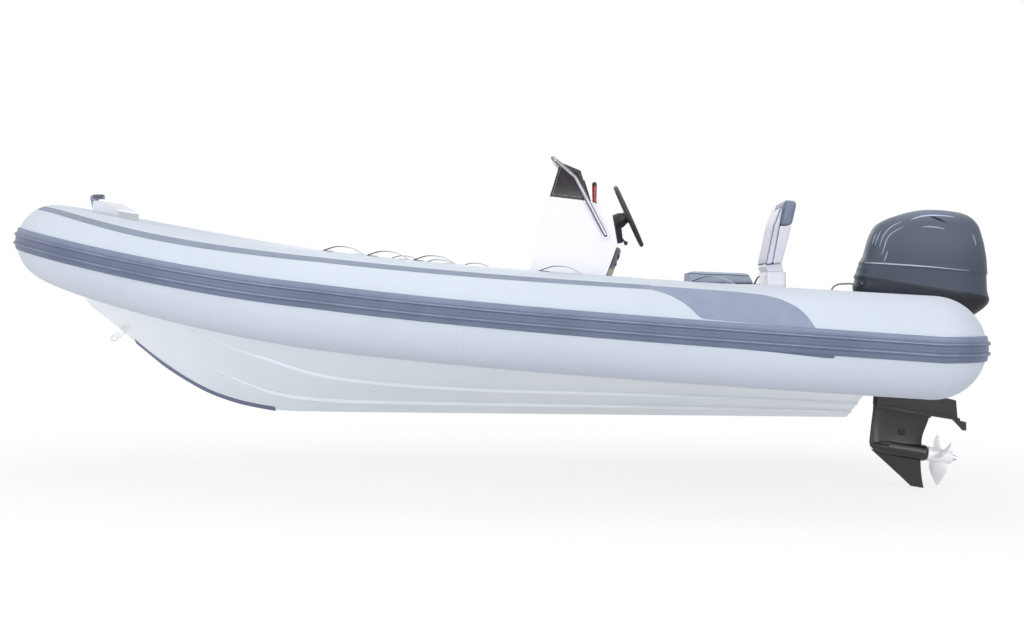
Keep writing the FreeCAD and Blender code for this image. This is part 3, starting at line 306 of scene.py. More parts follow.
def piece(name, points, faces, body, material, replaces=(), sharp=35.0, corners=None):
    """Mesh piece with outward faces that rides on a body."""
    mesh = bpy.data.meshes.new(name)
    mesh.from_pydata([tuple(p) for p in points], [], faces)
    if corners:
        layer = mesh.uv_layers.new(name="place")
        for loop, at in zip(layer.data, corners):
            loop.uv = at
    work = bmesh.new()
    work.from_mesh(mesh)
    bmesh.ops.remove_doubles(work, verts=work.verts, dist=1e-6)
    bmesh.ops.recalc_face_normals(work, faces=work.faces)
    work.to_mesh(mesh)
    work.free()
    mesh.shade_smooth()
    mesh.set_sharp_from_angle(angle=math.radians(sharp))
    mesh.materials.append(material)
    made = placed(name, mesh)
    if body:
        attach(made, body)
    if replaces:
        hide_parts(*replaces)
    return made


def evenly(count, step=0.01):
    return [step * i for i in range(count)]


def loft(name, rings, body, material, us=None, vs=None, replaces=(), sharp=35.0, closed=True):
    """Closed piece through rings of points, with its own coordinates: us by ring, vs round the ring."""
    rows, cols = len(rings), len(rings[0])
    us, vs = us or evenly(rows), vs or evenly(cols + 1)
    faces, corners = [], []
    for i in range(rows - 1):
        for j in range(cols):
            k = (j + 1) % cols
            faces.append((i * cols + j, i * cols + k, (i + 1) * cols + k, (i + 1) * cols + j))
            corners += [(us[i], vs[j]), (us[i], vs[j + 1]), (us[i + 1], vs[j + 1]), (us[i + 1], vs[j])]
    if closed:
        for i in (0, rows - 1):
            faces.append([i * cols + j for j in range(cols)])
            corners += [(us[i], vs[j]) for j in range(cols)]
    points = [p for ring in rings for p in ring]
    return piece(name, points, faces, body, material, replaces, sharp, corners)


def mirrored(rings):
    return [[Vector((p.x, -p.y, p.z)) for p in ring] for ring in rings]


def both_sides(name, rings, material, us, vs, replaces=None, sharp=35.0):
    """Piece on the port side and its mirror image on the starboard side."""
    for side, points in (("port", rings), ("starboard", mirrored(rings))):
        taken = [f"{replaces}_{side}"] if replaces else ()
        loft(f"{name}_{side}", points, "boat", material, us, vs, taken, sharp)


def round_bow(name, rings, material, us, vs, replaces=(), sharp=35.0):
    """Piece that runs up to the stem on the port side and back on the starboard side."""
    us = us + [2 * STEM - d for d in reversed(us[:-1])]
    loft(name, rings + mirrored(reversed(rings[:-1])), "boat", material, us, vs, replaces, sharp)


def tube_cloth():
    """Coated fabric: lap seams round the tube and along the underside, faint weave, a little dust."""
    made, room, shader = stuff("tube_cloth", 0.46, specular=0.4)
    place = room.laid()
    cloud = room.noise(1.6, 4.0)
    dust = room.noise(38.0, 6.0, 0.7)
    weave = place.bands("DIAGONAL", 260.0)
    panel = abs((place.axis("X") / 1.18 + 0.18).fract() - 0.5)
    lap = panel.ramp(0.4874, 0.4886)
    edge = lap - panel.ramp(0.4886, 0.4898)
    under = abs(place.axis("Y") + 0.30)
    keel_lap = 1.0 - under.ramp(0.016, 0.0175)
    keel_edge = keel_lap - (1.0 - under.ramp(0.0145, 0.016))
    base = cloud.clouded(rgb(194, 201, 211), rgb(199, 206, 216))
    marked = ((edge + keel_edge) * 0.12).mix(base, rgb(160, 168, 184))
    (dust.ramp(0.62, 0.8) * 0.16).mix(marked, rgb(170, 174, 178)).to(shader, "Base Color")
    (cloud * 0.16 + 0.38 + dust * 0.05).to(shader, "Roughness")
    (lap + keel_lap + weave * 0.06 + cloud * 0.5).bump(shader, 0.6, 0.0009)
    return made


cloth = tube_cloth()
TURNS = 96
turns = [-90.0 + 360.0 * j / TURNS for j in range(TURNS + 1)]
arcs = [math.radians(a) * TUBE_R for a in turns]
cone = [-0.5 * math.pi * TUBE_R * (1.0 - (i / 18.0)) for i in range(19)]
cone[0] += 0.0004
side_steps = cone + [SHOULDER * i / 90.0 for i in range(1, 91)]
bow_steps = [SHOULDER + (STEM - SHOULDER) * i / 64.0 for i in range(65)]
side_rings, bow_rings = [[[skin_point(d, a) for a in turns[:-1]] for d in steps]
                         for steps in (side_steps, bow_steps)]
both_sides("tube_skin", side_rings, cloth, side_steps, arcs, "tube", 60.0)
round_bow("tube_skin_bow", bow_rings, cloth, bow_steps, arcs, ["tube_bow"], 60.0)


# Glued trim on the tubes. The accent stripe runs round the bow and widens aft
# into a swept panel that meets the strake; a chafe patch lies under the strake.
def smooth_table(pairs):
    """Value by distance, through a few points, with the corners rounded off."""
    xs = np.linspace(pairs[0][0], pairs[-1][0], 400)
    ys = np.interp(xs, [p[0] for p in pairs], [p[1] for p in pairs])
    width = 13
    padded = np.concatenate([np.full(width, ys[0]), ys, np.full(width, ys[-1])])
    window = np.hanning(2 * width + 3)[1:-1]
    soft = np.convolve(padded, window / window.sum(), "valid")
    return lambda d: float(np.interp(d, xs, soft))


def band_rings(steps, low, high, thick, across=10):
    """Thin closed section on the port skin between two angles, at each distance."""
    rings = []
    for d in steps:
        angles = [low(d) + (high(d) - low(d)) * j / across for j in range(across + 1)]
        outer = [skin_point(d, a, thick) for a in angles]
        for end in (0, -1):
            outer[end] = skin_point(d, angles[end], thick * 0.35)
        rings.append(outer + [skin_point(d, a, -0.0012) for a in reversed(angles)])
    return rings


def trim_cloth(name, colour, rough=0.5):
    """Glued cloth of one colour with a fine diagonal weave and a little wear."""
    made, room, shader = stuff(name, rough, specular=0.4)
    cloud = room.noise(7.0, 6.0, 0.65)
    cloud.clouded(*around(colour, 0.07), 0.25, 0.75).to(shader, "Base Color")
    (cloud * 0.22 + rough - 0.1).to(shader, "Roughness")
    room.laid().bands("DIAGONAL", 300.0).bump(shader, 0.25, 0.0002)
    return made


accent_cloth = trim_cloth("accent_cloth", rgb(130, 139, 156))
panel_cloth = trim_cloth("panel_cloth", rgb(138, 147, 168))
patch_cloth = trim_cloth("patch_cloth", rgb(98, 108, 130), 0.62)
tape_cloth = trim_cloth("tape_cloth", rgb(188, 196, 208))

stripe_mid = smooth_table([(1.2, 57.0), (1.62, 55.8), (2.0, 54.9), (2.47, 54.6), (2.8, 54.2), (3.13, 53.6),
                           (3.3, 52.7), (3.48, 52.2), (3.72, 52.8), (3.95, 55.6), (4.19, 60.0), (4.46, 65.5),
                           (4.8655, 67.0)])
stripe_half = smooth_table([(1.2, 4.3), (2.8, 4.7), (3.6, 5.5), (4.8655, 6.2)])
STRIPE_FROM = 1.30
steps = [STRIPE_FROM + (STEM - STRIPE_FROM) * i / 180.0 for i in range(181)]
rings = band_rings(steps, lambda d: stripe_mid(d) - stripe_half(d),
                   lambda d: stripe_mid(d) + stripe_half(d), 0.0011, 6)
round_bow("accent_stripe", rings, accent_cloth, steps, evenly(len(rings[0]) + 1, 0.005))

panel_low = smooth_table([(0.54, 10.0), (0.56, 12.5), (0.7, 15.5), (1.05, 17.5), (1.075, 19.0), (1.103, 26.5),
                          (1.148, 35.5), (1.20, 43.5), (1.253, 49.0), (1.31, 53.2), (1.36, 55.0)])
panel_high = smooth_table([(0.54, 10.4), (0.565, 17.0), (0.595, 28.0), (0.64, 39.5), (0.714, 50.0),
                           (0.789, 55.8), (0.92, 58.6), (1.1, 59.4), (1.25, 59.7), (1.36, 59.6)])
patch_high = smooth_table([(0.46, -8.0), (1.08, -8.0)])
patch_low = smooth_table([(0.465, -16.0), (0.50, -16.6), (0.75, -13.4), (0.99, -11.6), (1.03, -10.4),
                          (1.08, -8.6)])
for name, cut, aft, fore, count, low, high, thick, across in (
    ("swept_panel", panel_cloth, 0.545, 1.345, 110, panel_low, panel_high, 0.0014, 14),
    ("chafe_patch", patch_cloth, 0.47, 1.07, 60, patch_low, patch_high, 0.0022, 6),
):
    steps = [aft + (fore - aft) * i / count for i in range(count + 1)]
    rings = band_rings(steps, low, high, thick, across)
    both_sides(name, rings, cut, steps, evenly(len(rings[0]) + 1, 0.004))

# Rub strake. An extruded rubber band glued along the widest line of the tubes,
# with a pale flat above and below and two darker ribs that take the knocks.
STRAKE_HALF = 0.058
STRAKE_HEIGHTS = [STRAKE_HALF * (2.0 * j / 100.0 - 1.0) for j in range(101)]
STRAKE_RISE = 0.024


def strake_thick(h):
    """Thickness of the extrusion by height."""
    rim = min(1.0, (STRAKE_HALF - abs(h)) / 0.004)
    flat = 0.0036 + 0.0054 * math.sqrt(max(0.0, 1.0 - (1.0 - rim) ** 2))
    off = abs(abs(h) - 0.024) / 0.0085
    rib = 0.0089 * max(0.0, 1.0 - off ** 3.2) ** 0.5
    groove = 0.0014 * math.exp(-((abs(h) - 0.0375) / 0.0016) ** 2) + 0.0012 * math.exp(-(h / 0.0015) ** 2)
    return flat + rib - groove


def strake_ring(d, rise):
    """Section of the strake in the upright plane through the tube axis at a distance."""
    centre, run, out, _ = tube_frame(max(d, 0.0))
    level = math.hypot(run.x, run.y)
    if d < 0.0:
        out = Matrix.Rotation(-d / TUBE_R, 3, "Z") @ out
        level = 1.0
    radius = tube_radius(d)
    outer, inner = [], []
    for h in STRAKE_HEIGHTS:
        z = rise + h
        skin = (radius + 0.0004) * math.sqrt(1.0 - (z * level / radius) ** 2)
        outer.append(centre + out * (skin + strake_thick(h)) + Vector((0, 0, z)))
        inner.append(centre + out * (skin - 0.0006) + Vector((0, 0, z)))
    return outer + inner[::-1]


def strake_rubber():
    """Rubber in two tones by height, with a painted highlight along the rib tops."""
    made, room, shader = stuff("strake_rubber_two_tone", 0.5, specular=0.45)
    height = room.laid().axis("Y")
    cloud = room.noise(4.0, 6.0, 0.65)
    dark = cloud.clouded(rgb(92, 101, 124), rgb(103, 112, 136))
    pale = cloud.clouded(rgb(114, 125, 148), rgb(123, 134, 157))
    tone = height.ramp(0.0335, 0.0350).mix(dark, pale)
    # Painted highlight: a paler line along the top of each rib, clouded so it is stronger in places.
    painted_rib_highlight = 1.0 - abs(abs(height) - 0.024).ramp(0.0008, 0.0026)
    (painted_rib_highlight * (cloud.ramp(0.35, 0.6) * 0.25 + 0.15)).mix(tone, rgb(176, 184, 204)).to(shader, "Base Color")
    (cloud * 0.2 + 0.36).to(shader, "Roughness")
    room.noise(240.0).bump(shader, 0.3, 0.00025)
    return made


rubber = strake_rubber()
heights = STRAKE_HEIGHTS + STRAKE_HEIGHTS[::-1] + STRAKE_HEIGHTS[:1]
wraps = [-TUBE_R * math.radians(84.0) * (1.0 - i / 14.0) for i in range(14)]
steps = wraps + [SHOULDER * i / 60.0 for i in range(61)]
rises = np.linspace(0.0, STRAKE_RISE, AXIS_STEPS + 1)
rings = [strake_ring(d, float(np.interp(max(d, 0.0), ALONG[:AXIS_STEPS + 1], rises))) for d in steps]
both_sides("strake_band", rings, rubber, steps, heights, "strake")
rings = [strake_ring(d, STRAKE_RISE) for d in bow_steps]
round_bow("strake_band_bow", rings, rubber, bow_steps, heights, ["strake_bow"])

# Carrying handles. Each is a webbing grip between two round fabric patches
# that are glued to the top of the tube; the forward patch is the darker one.
HANDLE_PLACES = (0.520, 0.305, 0.080, -0.522, -1.235)
STRAP_REACH = 0.085
STRAP_LIFT = 0.0265
STRAP_POWER = 2.6
STRAP_HALF_WIDTH = 0.0105
STRAP_HALF_THICK = 0.0022
STRAP_SECTIONS = 40
PATCH_REACH = 0.079
# Radius and height of a patch, from its rim to its middle.
PATCH_STEPS = ((0.0305, 0.0002), (0.029, 0.0016), (0.018, 0.0024), (0.004, 0.0026), (0.0, 0.0026))


def webbing():
    """Woven strap, pale with a darker forward end, ribbed along its length."""
    made, room, shader = stuff("handle_webbing", 0.7, specular=0.3)
    place = room.laid()
    ribs = place.bands("Y", 190.0)
    place.axis("X").ramp(0.02, 0.16).mix(rgb(196, 200, 208), rgb(52, 56, 66)).to(shader, "Base Color")
    (ribs * 0.1 + 0.62).to(shader, "Roughness")
    (ribs + place.bands("X", 260.0) * 0.6).bump(shader, 0.5, 0.0004)
    return made


def signed_power(value, exponent):
    """Power of a value's size, with its sign kept."""
    return math.copysign(abs(value) ** exponent, value)


def round_steps(count):
    """Cosine and sine at even steps round a circle."""
    return [(math.cos(2 * math.pi * j / count), math.sin(2 * math.pi * j / count)) for j in range(count)]


def strap_rings(centre, run, up):
    """Sections of one webbing grip on the port tube, flat at its ends and arched between them."""
    rings = []
    for i in range(STRAP_SECTIONS + 1):
        s = 2.0 * i / STRAP_SECTIONS - 1.0
        lift = STRAP_LIFT * max(0.0, 1.0 - abs(s) ** STRAP_POWER) + PATCH_STEPS[-1][1]
        mid = centre + run * (STRAP_REACH * (s + 0.14 * s * abs(s) ** 6)) + up * (TUBE_R + lift)
        lean = math.atan2(STRAP_LIFT * STRAP_POWER * signed_power(s, STRAP_POWER - 1.0), STRAP_REACH)
        normal = (up * math.cos(lean) + run * math.sin(lean)).normalized()
        rings.append([mid + Vector((0, STRAP_HALF_WIDTH * signed_power(a, 0.5), 0))
                      + normal * (STRAP_HALF_THICK * signed_power(b, 0.7)) for a, b in round_steps(12)])
    return rings


strap_web = webbing()
for side, sign in SIDES[::-1]:
    for number, x in enumerate(HANDLE_PLACES):
        d = float(np.interp(x, AXIS_AFT[:, 0], ALONG[:AXIS_STEPS + 1]))
        centre, run, out, up = tube_frame(d)
        rings = strap_rings(centre, run, up)
        if sign < 0:
            rings = mirrored(rings)
        lengths = evenly(len(rings), 2.0 * STRAP_REACH / STRAP_SECTIONS)
        taken = ["handles_" + side] if number == 0 else ()
        loft(f"handle_strap_{side}_{number}", rings, "boat", strap_web, lengths,
             evenly(13, 0.0018), taken, 50.0)
        for end, label, cut in ((-1.0, "aft", tape_cloth), (1.0, "fore", patch_cloth)):
            middle = d + end * PATCH_REACH
            rings = [[skin_point(middle + reach * a, 90.0 + math.degrees(reach * b / TUBE_R), lift)
                      for a, b in round_steps(28)] for reach, lift in PATCH_STEPS]
            rings.insert(0, [p - Vector((0, 0, 0.0016)) for p in rings[0]])
            if sign < 0:
                rings = mirrored(rings)
            loft(f"handle_patch_{side}_{number}_{label}", rings, "boat", cut, evenly(6, 0.004),
                 evenly(29, 0.006))

# Hull. Glass fibre moulding with a glossy white gel coat, its spray strakes
# moulded in; the grey guard over stem and keel is a glued rubber strip.
GEL_GRAIN = {"cloud": 2.2, "grain": 60.0, "depth": 0.0004, "spread": 0.02}
STEEL_GRAIN = {"metal": 1.0, "cloud": 14.0, "grain": 500.0, "depth": 0.00005, "spread": 0.04}


def hull_gel():
    """Gel coat of the bottom: faint waviness, and a trace of water marks near the keel."""
    made, place, shader = stuff("hull_gelcoat", 0.26, coat=0.5)
    cloud = place.noise(1.7, 4.0)
    marks = place.node("Mapping", Vector=place, Scale=(0.5, 1.0, 5.0)).noise(6.0, 7.0, 0.7)
    low = 1.0 - place.axis("Z").ramp(-0.26, -0.02)
    base = cloud.clouded(rgb(227, 233, 238), rgb(232, 238, 242))
    (marks.ramp(0.5, 0.8) * (low * 0.22 + 0.05)).mix(base, rgb(176, 178, 176)).to(shader, "Base Color")
    (marks * 0.14 + 0.18).to(shader, "Roughness")
    (place.noise(45.0, 1.0) + cloud * 2.0).bump(shader, 0.3, 0.0006)
    return made


def repaint(material, *names):
    """Give CAD nodes a finish in place of their plain colour."""
    for name in names:
        mesh = nodes[name].data
        mesh.materials.clear()
        mesh.materials.append(material)


steel = worn("polished_steel", rgb(196, 199, 204), 0.16, **STEEL_GRAIN)
repaint(hull_gel(), "hull")
repaint(worn("guard_rubber", rgb(98, 106, 134), 0.5, cloud=9.0, grain=260.0, depth=0.0003), "keel_guard")
repaint(steel, "bow_eye", "stern_eyes", "locker_hinges", "flap_hinges", "seat_hinges", "thrust_rod",
        "propeller_shaft")
repaint(worn("rail_steel", rgb(148, 146, 154), 0.2, **STEEL_GRAIN), "console_rail")


# Transom and cockpit sole. The transom board is gel coated with an alloy
# wear plate for the clamps; the sole has a moulded diamond tread.
def tread():
    """Gel coat with raised diamonds, darker grey between them."""
    made, place, shader = stuff("sole_tread", 0.55)
    x, y = place.axis("X") * 46.0, place.axis("Y") * 32.0
    first, second = [(0.5 - abs(row.fract() - 0.5)).ramp(0.06, 0.16) for row in (x + y, x - y)]
    stud = first * second
    pale = place.noise(3.0, 6.0, 0.65).clouded(rgb(200, 204, 209), rgb(212, 215, 219))
    (stud * 0.7 + 0.3).mix(rgb(150, 153, 157), pale).to(shader, "Base Color")
    (0.62 - stud * 0.14).to(shader, "Roughness")
    stud.bump(shader, 0.8, 0.0012)
    return made


repaint(tread(), "sole")
gel = worn("gelcoat_white", rgb(222, 222, 229), 0.24, coat=0.5, **GEL_GRAIN)
repaint(gel, "transom", "console", "seat_base")
# The bow locker and its lid get a greyer copy of the white gel coat, which is painted shade.
gel = worn("gelcoat_bow_painted_shade", rgb(192, 196, 205), 0.3, coat=0.4, **GEL_GRAIN)
repaint(gel, "bow_locker", "bow_locker_lid")


def slab(name, low, high, body, material, radius=0.003, steps=3, matrix=None):
    """Rounded slab between two corners, optionally turned into place."""
    work = bmesh.new()
    bmesh.ops.create_cube(work, size=1.0)
    for v in work.verts:
        v.co = Vector([low[k] + (v.co[k] + 0.5) * (high[k] - low[k]) for k in range(3)])
    bmesh.ops.bevel(work, geom=work.edges[:], offset=radius, segments=steps, profile=0.5, affect="EDGES",
                    clamp_overlap=True)
    if matrix:
        work.transform(matrix)
    points = [v.co.copy() for v in work.verts]
    faces = [[v.index for v in f.verts] for f in work.faces]
    work.free()
    piece(name, points, faces, body, material, sharp=50.0)


def turned(name, profile, matrix, body, material, count=32):
    """Piece turned about its own Z from (radius, height) pairs, then put into place."""
    rings = [[matrix @ Vector((max(r, 1e-5) * a, max(r, 1e-5) * b, z)) for a, b in round_steps(count)]
             for r, z in profile]
    return loft(name, rings, body, material)


def facing(origin, outward, up=(0, 0, 1)):
    """Frame whose Z points outward from a face and whose Y is as near to up as it can be."""
    z = Vector(outward).normalized()
    x = Vector(up).cross(z).normalized()
    m = Matrix((x, z.cross(x), z)).transposed().to_4x4()
    m.translation = Vector(origin)
    return m


alloy = worn("brushed_alloy", rgb(150, 153, 158), 0.38, metal=0.9, cloud=20.0, grain=420.0, depth=0.0001)
black = worn("black_moulding", rgb(34, 35, 39), 0.5, cloud=12.0, grain=700.0, depth=0.00015, spread=0.12)
DRAIN = [(0, 0.0), (0.028, 0.0), (0.028, -0.004), (0.022, -0.009), (0.012, -0.010), (0.010, -0.018),
         (0, -0.019)]
for name, low, high in (("motor_plate", -0.20, -0.135), ("motor_plate_starboard", 0.135, 0.20)):
    slab(name, (-2.0020, low, -0.02), (-1.9998, high, 0.235), "boat", alloy, 0.0008, 2)
for side, sign in SIDES:
    at = facing((-2.0, sign * 0.30, 0.03), (1, 0, 0))
    turned("drain_cover_" + side, DRAIN, at, "boat", black)

# Bow. The locker lid has two flush pulls; the leaning rope guide ahead of the
# step is a grey moulding with a dark cap.
repaint(worn("bracket_grey", rgb(120, 128, 146), 0.42, cloud=16.0, grain=500.0, depth=0.00015), "bow_bracket")
guide_low, guide_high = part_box("bow_bracket")
slab("bracket_cap", (guide_low.x + 0.002, -0.0175, guide_high.z - 0.0205),
     (guide_high.x - 0.016, 0.0175, guide_high.z + 0.0015), "boat",
     worn("bracket_cap_dark", rgb(70, 76, 92), 0.45, cloud=16.0))
LID_TOP = 0.6265
PULL = [(0, -0.002), (0.031, -0.002), (0.031, 0.0012), (0.028, 0.0026), (0.023, 0.0022), (0.021, 0.0004),
        (0, 0.0004)]
pull_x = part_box("bow_locker_lid")[1].x - 0.075
for side, sign in SIDES:
    y = sign * 0.20
    turned("lid_pull_" + side, PULL, Matrix.Translation((pull_x, y, LID_TOP)), "locker_lid", steel)
    slab("lid_pull_bar_" + side, (pull_x - 0.020, y - 0.005, LID_TOP + 0.0001),
         (pull_x + 0.020, y + 0.005, LID_TOP + 0.0037), "locker_lid", steel, 0.0015)


# Small repeated fittings. One group of nodes puts a domed head or a stitch on
# every point it is given, turned to face and run as the point says.
def repeats_group():
    group = bpy.data.node_groups.new("small_repeats", "GeometryNodeTree")
    for label, way, kind in (("Points", "INPUT", "Geometry"), ("Long", "INPUT", "Float"),
                             ("Wide", "INPUT", "Float"), ("Tall", "INPUT", "Float"),
                             ("Finish", "INPUT", "Material"), ("Repeats", "OUTPUT", "Geometry")):
        group.interface.new_socket(label, in_out=way, socket_type="NodeSocket" + kind)

    def new(kind, **inputs):
        made = group.nodes.new(kind)
        for label, value in inputs.items():
            if isinstance(value, bpy.types.NodeSocket):
                group.links.new(value, made.inputs[label])
            else:
                made.inputs[label].default_value = value
        return made

    given = new("NodeGroupInput").outputs
    head = new("GeometryNodeMeshUVSphere", Segments=10, Rings=6, Radius=0.5)
    size = new("ShaderNodeCombineXYZ", X=given["Long"], Y=given["Wide"], Z=given["Tall"])
    turns = {}
    for label, axis, pivot in (("facing", "Z", "AUTO"), ("heading", "X", "Z")):
        read = new("GeometryNodeInputNamedAttribute", Name=label)
        read.data_type = "FLOAT_VECTOR"
        turn_to = new("FunctionNodeAlignRotationToVector", Vector=read.outputs["Attribute"], **turns)
        turn_to.axis = axis
        turn_to.pivot_axis = pivot
        turns = {"Rotation": turn_to.outputs["Rotation"]}
    dots = new("GeometryNodeMeshToPoints", Mesh=given["Points"])
    place = new("GeometryNodeInstanceOnPoints", Points=dots.outputs["Points"], Instance=head.outputs["Mesh"],
                Scale=size.outputs["Vector"], **turns)
    real = new("GeometryNodeRealizeInstances", Geometry=place.outputs["Instances"])
    coat = new("GeometryNodeSetMaterial", Geometry=real.outputs["Geometry"], Material=given["Finish"])
    new("NodeGroupOutput", Repeats=coat.outputs["Geometry"])
    return group


repeats = repeats_group()


def small_repeats(name, spots, size, body, material):
    """Heads or stitches at (point, facing, heading) spots, as one plain mesh."""
    mesh = bpy.data.meshes.new(name + "_spots")
    mesh.from_pydata([tuple(s[0]) for s in spots], [], [])
    for k, label in ((1, "facing"), (2, "heading")):
        layer = mesh.attributes.new(label, "FLOAT_VECTOR", "POINT")
        for row, spot in zip(layer.data, spots):
            row.vector = spot[k]
    holder = placed(name + "_spots", mesh)
    tool = holder.modifiers.new("repeats", "NODES")
    tool.node_group = repeats
    values = {"Long": size[0], "Wide": size[1], "Tall": size[2], "Finish": material}
    for item in repeats.interface.items_tree:
        if item.name in values:
            tool[item.identifier] = values[item.name]
    heads = bpy.data.meshes.new_from_object(holder.evaluated_get(bpy.context.evaluated_depsgraph_get()))
    bpy.data.objects.remove(holder)
    heads.shade_smooth()
    if not heads.materials:
        heads.materials.append(material)
    made = placed(name, heads)
    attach(made, body)


# Stern fittings. Four bolts through each eye's pad, and four screws in each wear
# plate.
AFT, FORE, PORT = (-1, 0, 0), (1, 0, 0), (0, 1, 0)
spots = [((-2.0062, sign * 0.43 + dy, 0.186 + dz), AFT, PORT)
         for sign in (-1, 1) for dy in (-0.022, 0.022) for dz in (-0.015, 0.015)]
small_repeats("stern_eye_bolts", spots, (0.010, 0.010, 0.006), "boat", steel)
spots = [((-2.002, sign * y, z), AFT, PORT) for sign in (-1, 1) for y in (0.145, 0.19) for z in (-0.005, 0.22)]
small_repeats("motor_plate_screws", spots, (0.009, 0.009, 0.004), "boat", steel)

# Console. White glass fibre shell; a dash with two dials on its slope, and a
# switch panel and a key switch beside the wheel.
CONSOLE_AFT = (-0.985, 0, 0.172)
DASH = facing((-0.7425, 0.0, 0.8212), (-0.567, 0, 0.824))
PANEL = facing((-0.787, 0.235, 0.720), CONSOLE_AFT)
KEY = facing((-0.787, -0.10, 0.745), CONSOLE_AFT)
BEZEL = [(0, -0.004), (0.031, -0.004), (0.0325, 0.0005), (0.032, 0.0035), (0.0295, 0.0048), (0.0268, 0.0035),
         (0.0262, 0.001), (0, 0.001)]
FACE = [(0, 0.0006), (0.0262, 0.0006), (0.0262, 0.0018), (0.024, 0.0018), (0.019, 0.0018), (0.014, 0.0018),
        (0, 0.0018)]


def dial_face():
    """Gauge face: pale ticks round a dark disc, and a needle, all by angle and radius."""
    made, room, shader = stuff("dial_face", 0.3, coat=0.6)
    ring, angle = room.laid().axis("X"), room.laid().axis("Y")
    tick = abs((angle * 2.0).fract() - 0.5)
    on_tick = (1.0 - tick.ramp(0.10, 0.14)) * ring.ramp(0.0185, 0.019) * (1.0 - ring.ramp(0.0235, 0.024))
    needle = (1.0 - abs(angle - 8.2).ramp(0.16, 0.24)) * (1.0 - ring.ramp(0.019, 0.02))
    needle.mix(on_tick.mix(rgb(22, 23, 26), rgb(226, 226, 222)), rgb(206, 78, 44)).to(shader, "Base Color")
    (0.34 - on_tick * 0.1).to(shader, "Roughness")
    return made


dial = dial_face()
for number, across in enumerate((-0.078, 0.078)):
    at = DASH @ Matrix.Translation((across, 0.0, 0.0))
    turned(f"gauge_bezel_{number}", BEZEL, at, "boat", steel, 40)
    face = turned(f"gauge_face_{number}", FACE, at, "boat", dial, 40)
    layer = face.data.uv_layers["place"].data
    back = at.inverted()
    for loop in face.data.loops:
        p = back @ face.data.vertices[loop.vertex_index].co
        layer[loop.index].uv = (math.hypot(p.x, p.y), (math.atan2(p.y, p.x) / (2 * math.pi) + 0.5) * 16.0)

slab("switch_panel", (-0.045, -0.052, -0.004), (0.045, 0.052, 0.0032), "boat", black, 0.002,
     3, PANEL)
lamp_tint = worn("switch_green", rgb(60, 96, 78), 0.35, cloud=30.0, grain=400.0)
for row in range(4):
    at = PANEL @ Matrix.Translation((0, 0.032 - 0.0215 * row, 0))
    tilt = Matrix.Rotation(math.radians(7.0 if row % 2 else -7.0), 4, "X")
    slab(f"rocker_{row}", (-0.030, -0.008, 0.001), (0.004, 0.008, 0.0075), "boat", black,
         0.0015, 2, at @ tilt)
    slab(f"rocker_light_{row}", (0.014, -0.003, 0.0025), (0.030, 0.003, 0.0040), "boat",
         lamp_tint, 0.0008, 2, at)
turned("key_switch", [(0, -0.004), (0.014, -0.004), (0.014, 0.003), (0.011, 0.006), (0.004, 0.006),
       (0.0035, 0.004), (0, 0.004)], KEY, "boat", black, 24)
turned("key_barrel", [(0, 0.003), (0.0075, 0.003), (0.0075, 0.0072), (0.006, 0.0078), (0, 0.0078)], KEY,
       "boat", steel, 24)


# Sloping board on the console's aft face: grey brown, with dark switch and
# socket spots over a beige lower end.
def flap_finish():
    """Textured board that turns from grey brown to beige towards its foot."""
    made, place, shader = stuff("flap_board_finish", 0.55)
    cloud = place.noise(9.0, 6.0, 0.7)
    height = place.axis("Z") + cloud * 0.01
    height.ramp(0.515, 0.530).mix(rgb(190, 176, 150), rgb(112, 108, 108)).to(shader, "Base Color")
    (cloud * 0.2 + 0.42).to(shader, "Roughness")
    place.noise(380.0).bump(shader, 0.5, 0.0003)
    return made


repaint(flap_finish(), "console_flap")
slope = Vector((-0.063, 0, 0.17)).normalized()
outward = Vector((-slope.z, 0, slope.x))
BOARD = facing(Vector((-0.738, 0, 0.470)) + slope * 0.100 + outward * 0.0204, outward)
# Place across, place up the board and radius of each socket.
SOCKETS = ((-0.15, 0.030, 0.014), (-0.09, 0.030, 0.014), (0.09, 0.030, 0.014), (0.15, 0.030, 0.014),
           (-0.12, -0.012, 0.009), (0.12, -0.012, 0.009))
for number, (x, y, r) in enumerate(SOCKETS):
    at = BOARD @ Matrix.Translation((x, y, 0))
    turned(f"board_socket_{number}", [(0, -0.004), (r, -0.004), (r, 0.002), (0.8 * r, 0.004),
           (0.45 * r, 0.004), (0.4 * r, 0.001), (0, 0.001)], at, "flap", black, 24)

# Windscreen. Tinted acrylic bent round three sides, with a dark rubber edge
# along its outline and a printed light line a finger's width inside it.
# Corners of the side panes, as X and Z.
SCREEN = [(-0.4545, 0.8905), (-0.508, 1.062), (-0.612, 1.01825), (-0.6595, 0.8645)]


def tinted():
    """Smoked acrylic: dark, glossy, faintly see-through, with polishing haze."""
    made, place, shader = stuff("smoked_acrylic", 0.08, specular=0.3)
    haze = place.noise(11.0, 6.0, 0.7)
    haze.clouded(rgb(40, 33, 37), rgb(56, 48, 52), 0.3, 0.75).to(shader, "Base Color")
    (haze * 0.10 + 0.03).to(shader, "Roughness")
    (haze * 0.05 + 0.91).to(shader, "Alpha")
    return made


def inset(points, margin):
    """Closed outline moved inward by a margin."""
    middle = sum((Vector(p) for p in points), Vector((0, 0))) / len(points)
    lines = []
    for a, b in zip(points, points[1:] + points[:1]):
        run = (Vector(b) - Vector(a)).normalized()
        side = Vector((-run.y, run.x))
        if side.dot(middle - Vector(a)) < 0:
            side = -side
        lines.append((Vector(a) + side * margin, run))
    moved = []
    for (p, r), (q, s) in zip(lines[-1:] + lines[:-1], lines):
        moved.append(p + r * (((q - p).x * s.y - (q - p).y * s.x) / (r.x * s.y - r.y * s.x)))
    return moved


